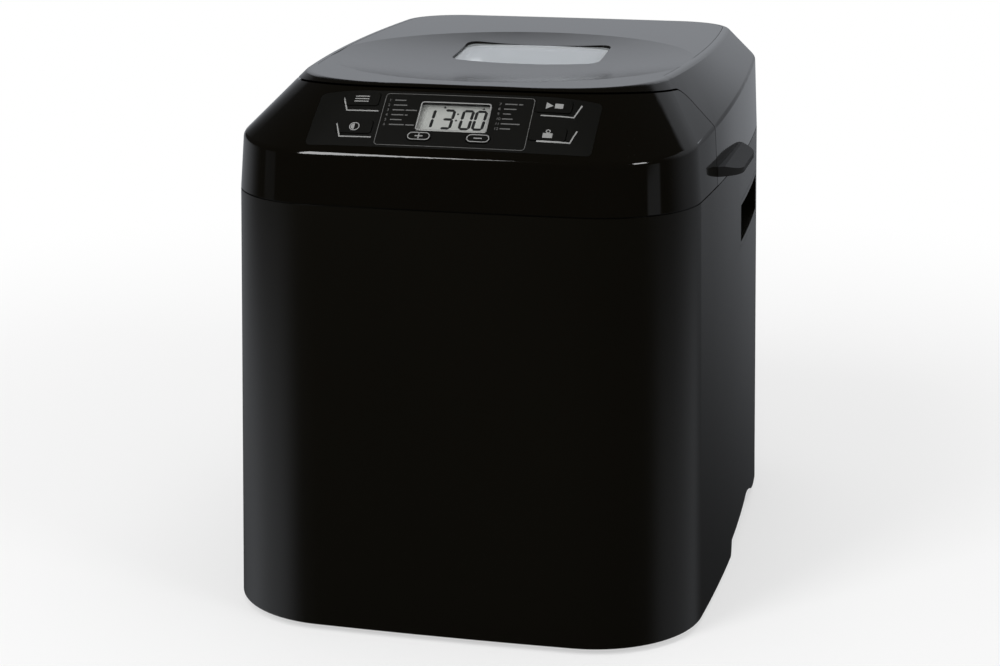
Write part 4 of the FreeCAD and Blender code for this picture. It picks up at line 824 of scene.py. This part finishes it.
# %% Signs for start and weight
START_PLACE = -2.3
START_RADIUS = 2.2
STOP_PLACE = (2.0, 2.9)
STOP_HEIGHT = 2.8
WEIGHT_PLACE = -0.8
WEIGHT_RADIUS = 2.6
WEIGHT_STRETCH = (1.2, 0.75)
EYE_PLACE = 1.6
EYE_RADIUS = 1.1


def start_sign(bm, x, s):
    """Triangle and square."""
    polygon(bm, x + START_PLACE, s, START_RADIUS, 3, turn=-math.pi / 2)
    bar(bm, (x + STOP_PLACE[0], s), (x + STOP_PLACE[1], s), STOP_HEIGHT)


def weight_sign(bm, x, s):
    """Block with an eye on top."""
    polygon(bm, x, s + WEIGHT_PLACE, WEIGHT_RADIUS, 4, turn=math.pi / 4, stretch=WEIGHT_STRETCH)
    ring(bm, x, s + EYE_PLACE, EYE_RADIUS, EYE_RADIUS, RING_LINE, segments=6)


print("eye of the weight", 2 * EYE_RADIUS, "mm wide")

# %% Signs for minus and plus
PILL_HALF_WIDTH = 5.2
PILL_HALF_HEIGHT = 2.2
PILL_LINE = 0.42
MINUS_REACH = 1.6
PLUS_START = 1.02 * SIGN_LINE
PLUS_REACH = 1.2


def minus_sign(bm, x, s):
    """Pill-shaped ring with a bar in it."""
    ring(bm, x, s, PILL_HALF_WIDTH, PILL_HALF_HEIGHT, PILL_LINE, segments=8)
    bar(bm, (x - MINUS_REACH, s), (x + MINUS_REACH, s), SIGN_LINE, cuts=SIGN_CUTS)


def plus_sign(bm, x, s):
    """The same with two short bars more, which stop just short of the first."""
    minus_sign(bm, x, s)
    for way in (-1, 1):
        bar(bm, (x, s + way * PLUS_START), (x, s + way * PLUS_REACH), SIGN_LINE)


print("plus leaves", round(PLUS_START - SIGN_LINE, 3), "mm between its bars")

# %% Signs on the keys
KEY_X = 44.5
KEY_UPPER = 33.2
KEY_LOWER = 16.6
PILL_X = 13.6
PILL_PLACE = 12.3
SIGNS = (
    ("key_menu", -KEY_X, KEY_UPPER, menu_sign), ("key_crust", -KEY_X, KEY_LOWER, crust_sign),
    ("key_start", KEY_X, KEY_UPPER, start_sign), ("key_weight", KEY_X, KEY_LOWER, weight_sign),
    ("key_plus", -PILL_X, PILL_PLACE, plus_sign), ("key_minus", PILL_X, PILL_PLACE, minus_sign),
)
for key, x, s, draw in SIGNS:
    bm = bmesh.new()
    draw(bm, x, s)
    let_down(bm, key)
    keep(bm, key + "_sign", print_silver, key + "_cap")

# %% [markdown]
# ## Display
# Under the clear lens lies the display itself: pale grey, with dark seven-segment digits that lean
# slightly. A font could draw them, but a real display is made of segments, and so are these. One
# segment is a bar whose four upright edges are bevelled until its ends are pointed.

# %% Digits
DIGIT_HEIGHT = 10.6
DIGIT_WIDTH = 4.3
DIGIT_BASE = 20.0
SEGMENT_WIDTH = 1.35
SEGMENT_POINT = 0.42 * SEGMENT_WIDTH
SEGMENT_GAP = 0.62 * SEGMENT_WIDTH
DIGIT_SEGMENTS = {"0": "abcdef", "1": "bc", "3": "abcdg"}


def segment(bm, start, end):
    """Bar with pointed ends."""
    edges = {e for v in bar(bm, start, end, SEGMENT_WIDTH) for e in v.link_edges}
    upright = [e for e in edges if abs(e.verts[0].co.z - e.verts[1].co.z) > INK / 2]
    bmesh.ops.bevel(bm, geom=upright, offset=SEGMENT_POINT, segments=1, profile=0.5,
                    affect="EDGES", material=-1)


def digit(bm, sign, x):
    """One digit from its segments, which carry the usual letters a to g."""
    half = DIGIT_HEIGHT / 2
    rows = {"d": 0.0, "g": half, "a": DIGIT_HEIGHT}
    columns = {"e": (0, 0), "f": (0, half), "c": (DIGIT_WIDTH, 0), "b": (DIGIT_WIDTH, half)}
    for name in DIGIT_SEGMENTS[sign]:
        if name in rows:
            s = DIGIT_BASE + rows[name]
            segment(bm, (x + SEGMENT_GAP, s), (x + DIGIT_WIDTH - SEGMENT_GAP, s))
        else:
            side, low = columns[name]
            s = DIGIT_BASE + low
            segment(bm, (x + side, s + SEGMENT_GAP), (x + side, s + half - SEGMENT_GAP))


print("digits", DIGIT_WIDTH, "by", DIGIT_HEIGHT, "mm")

# %% What the display shows
SHOWN = (("1", -14.5), ("3", -5.5), ("0", 3.2), ("0", 9.3))
COLON_X = 0.7
COLON_STEPS = (4.8, 8.6)
COLON_RADIUS = 0.55
MARK_X = (-6.2, 11.8)
MARK_PLACE = 32.2
MARK_RADIUS = 0.85
LEAN = 0.06

bm = bmesh.new()
for sign, x in SHOWN:
    digit(bm, sign, x)
for step in COLON_STEPS:
    polygon(bm, COLON_X, DIGIT_BASE + step, COLON_RADIUS, 8)
for x in MARK_X:
    polygon(bm, x, MARK_PLACE, MARK_RADIUS, 3)
for vert in bm.verts:
    vert.co.x += LEAN * (vert.co.y - DIGIT_BASE - DIGIT_HEIGHT / 2)
let_down(bm, "lcd_module")
keep(bm, "display_digits", display_ink, "base")
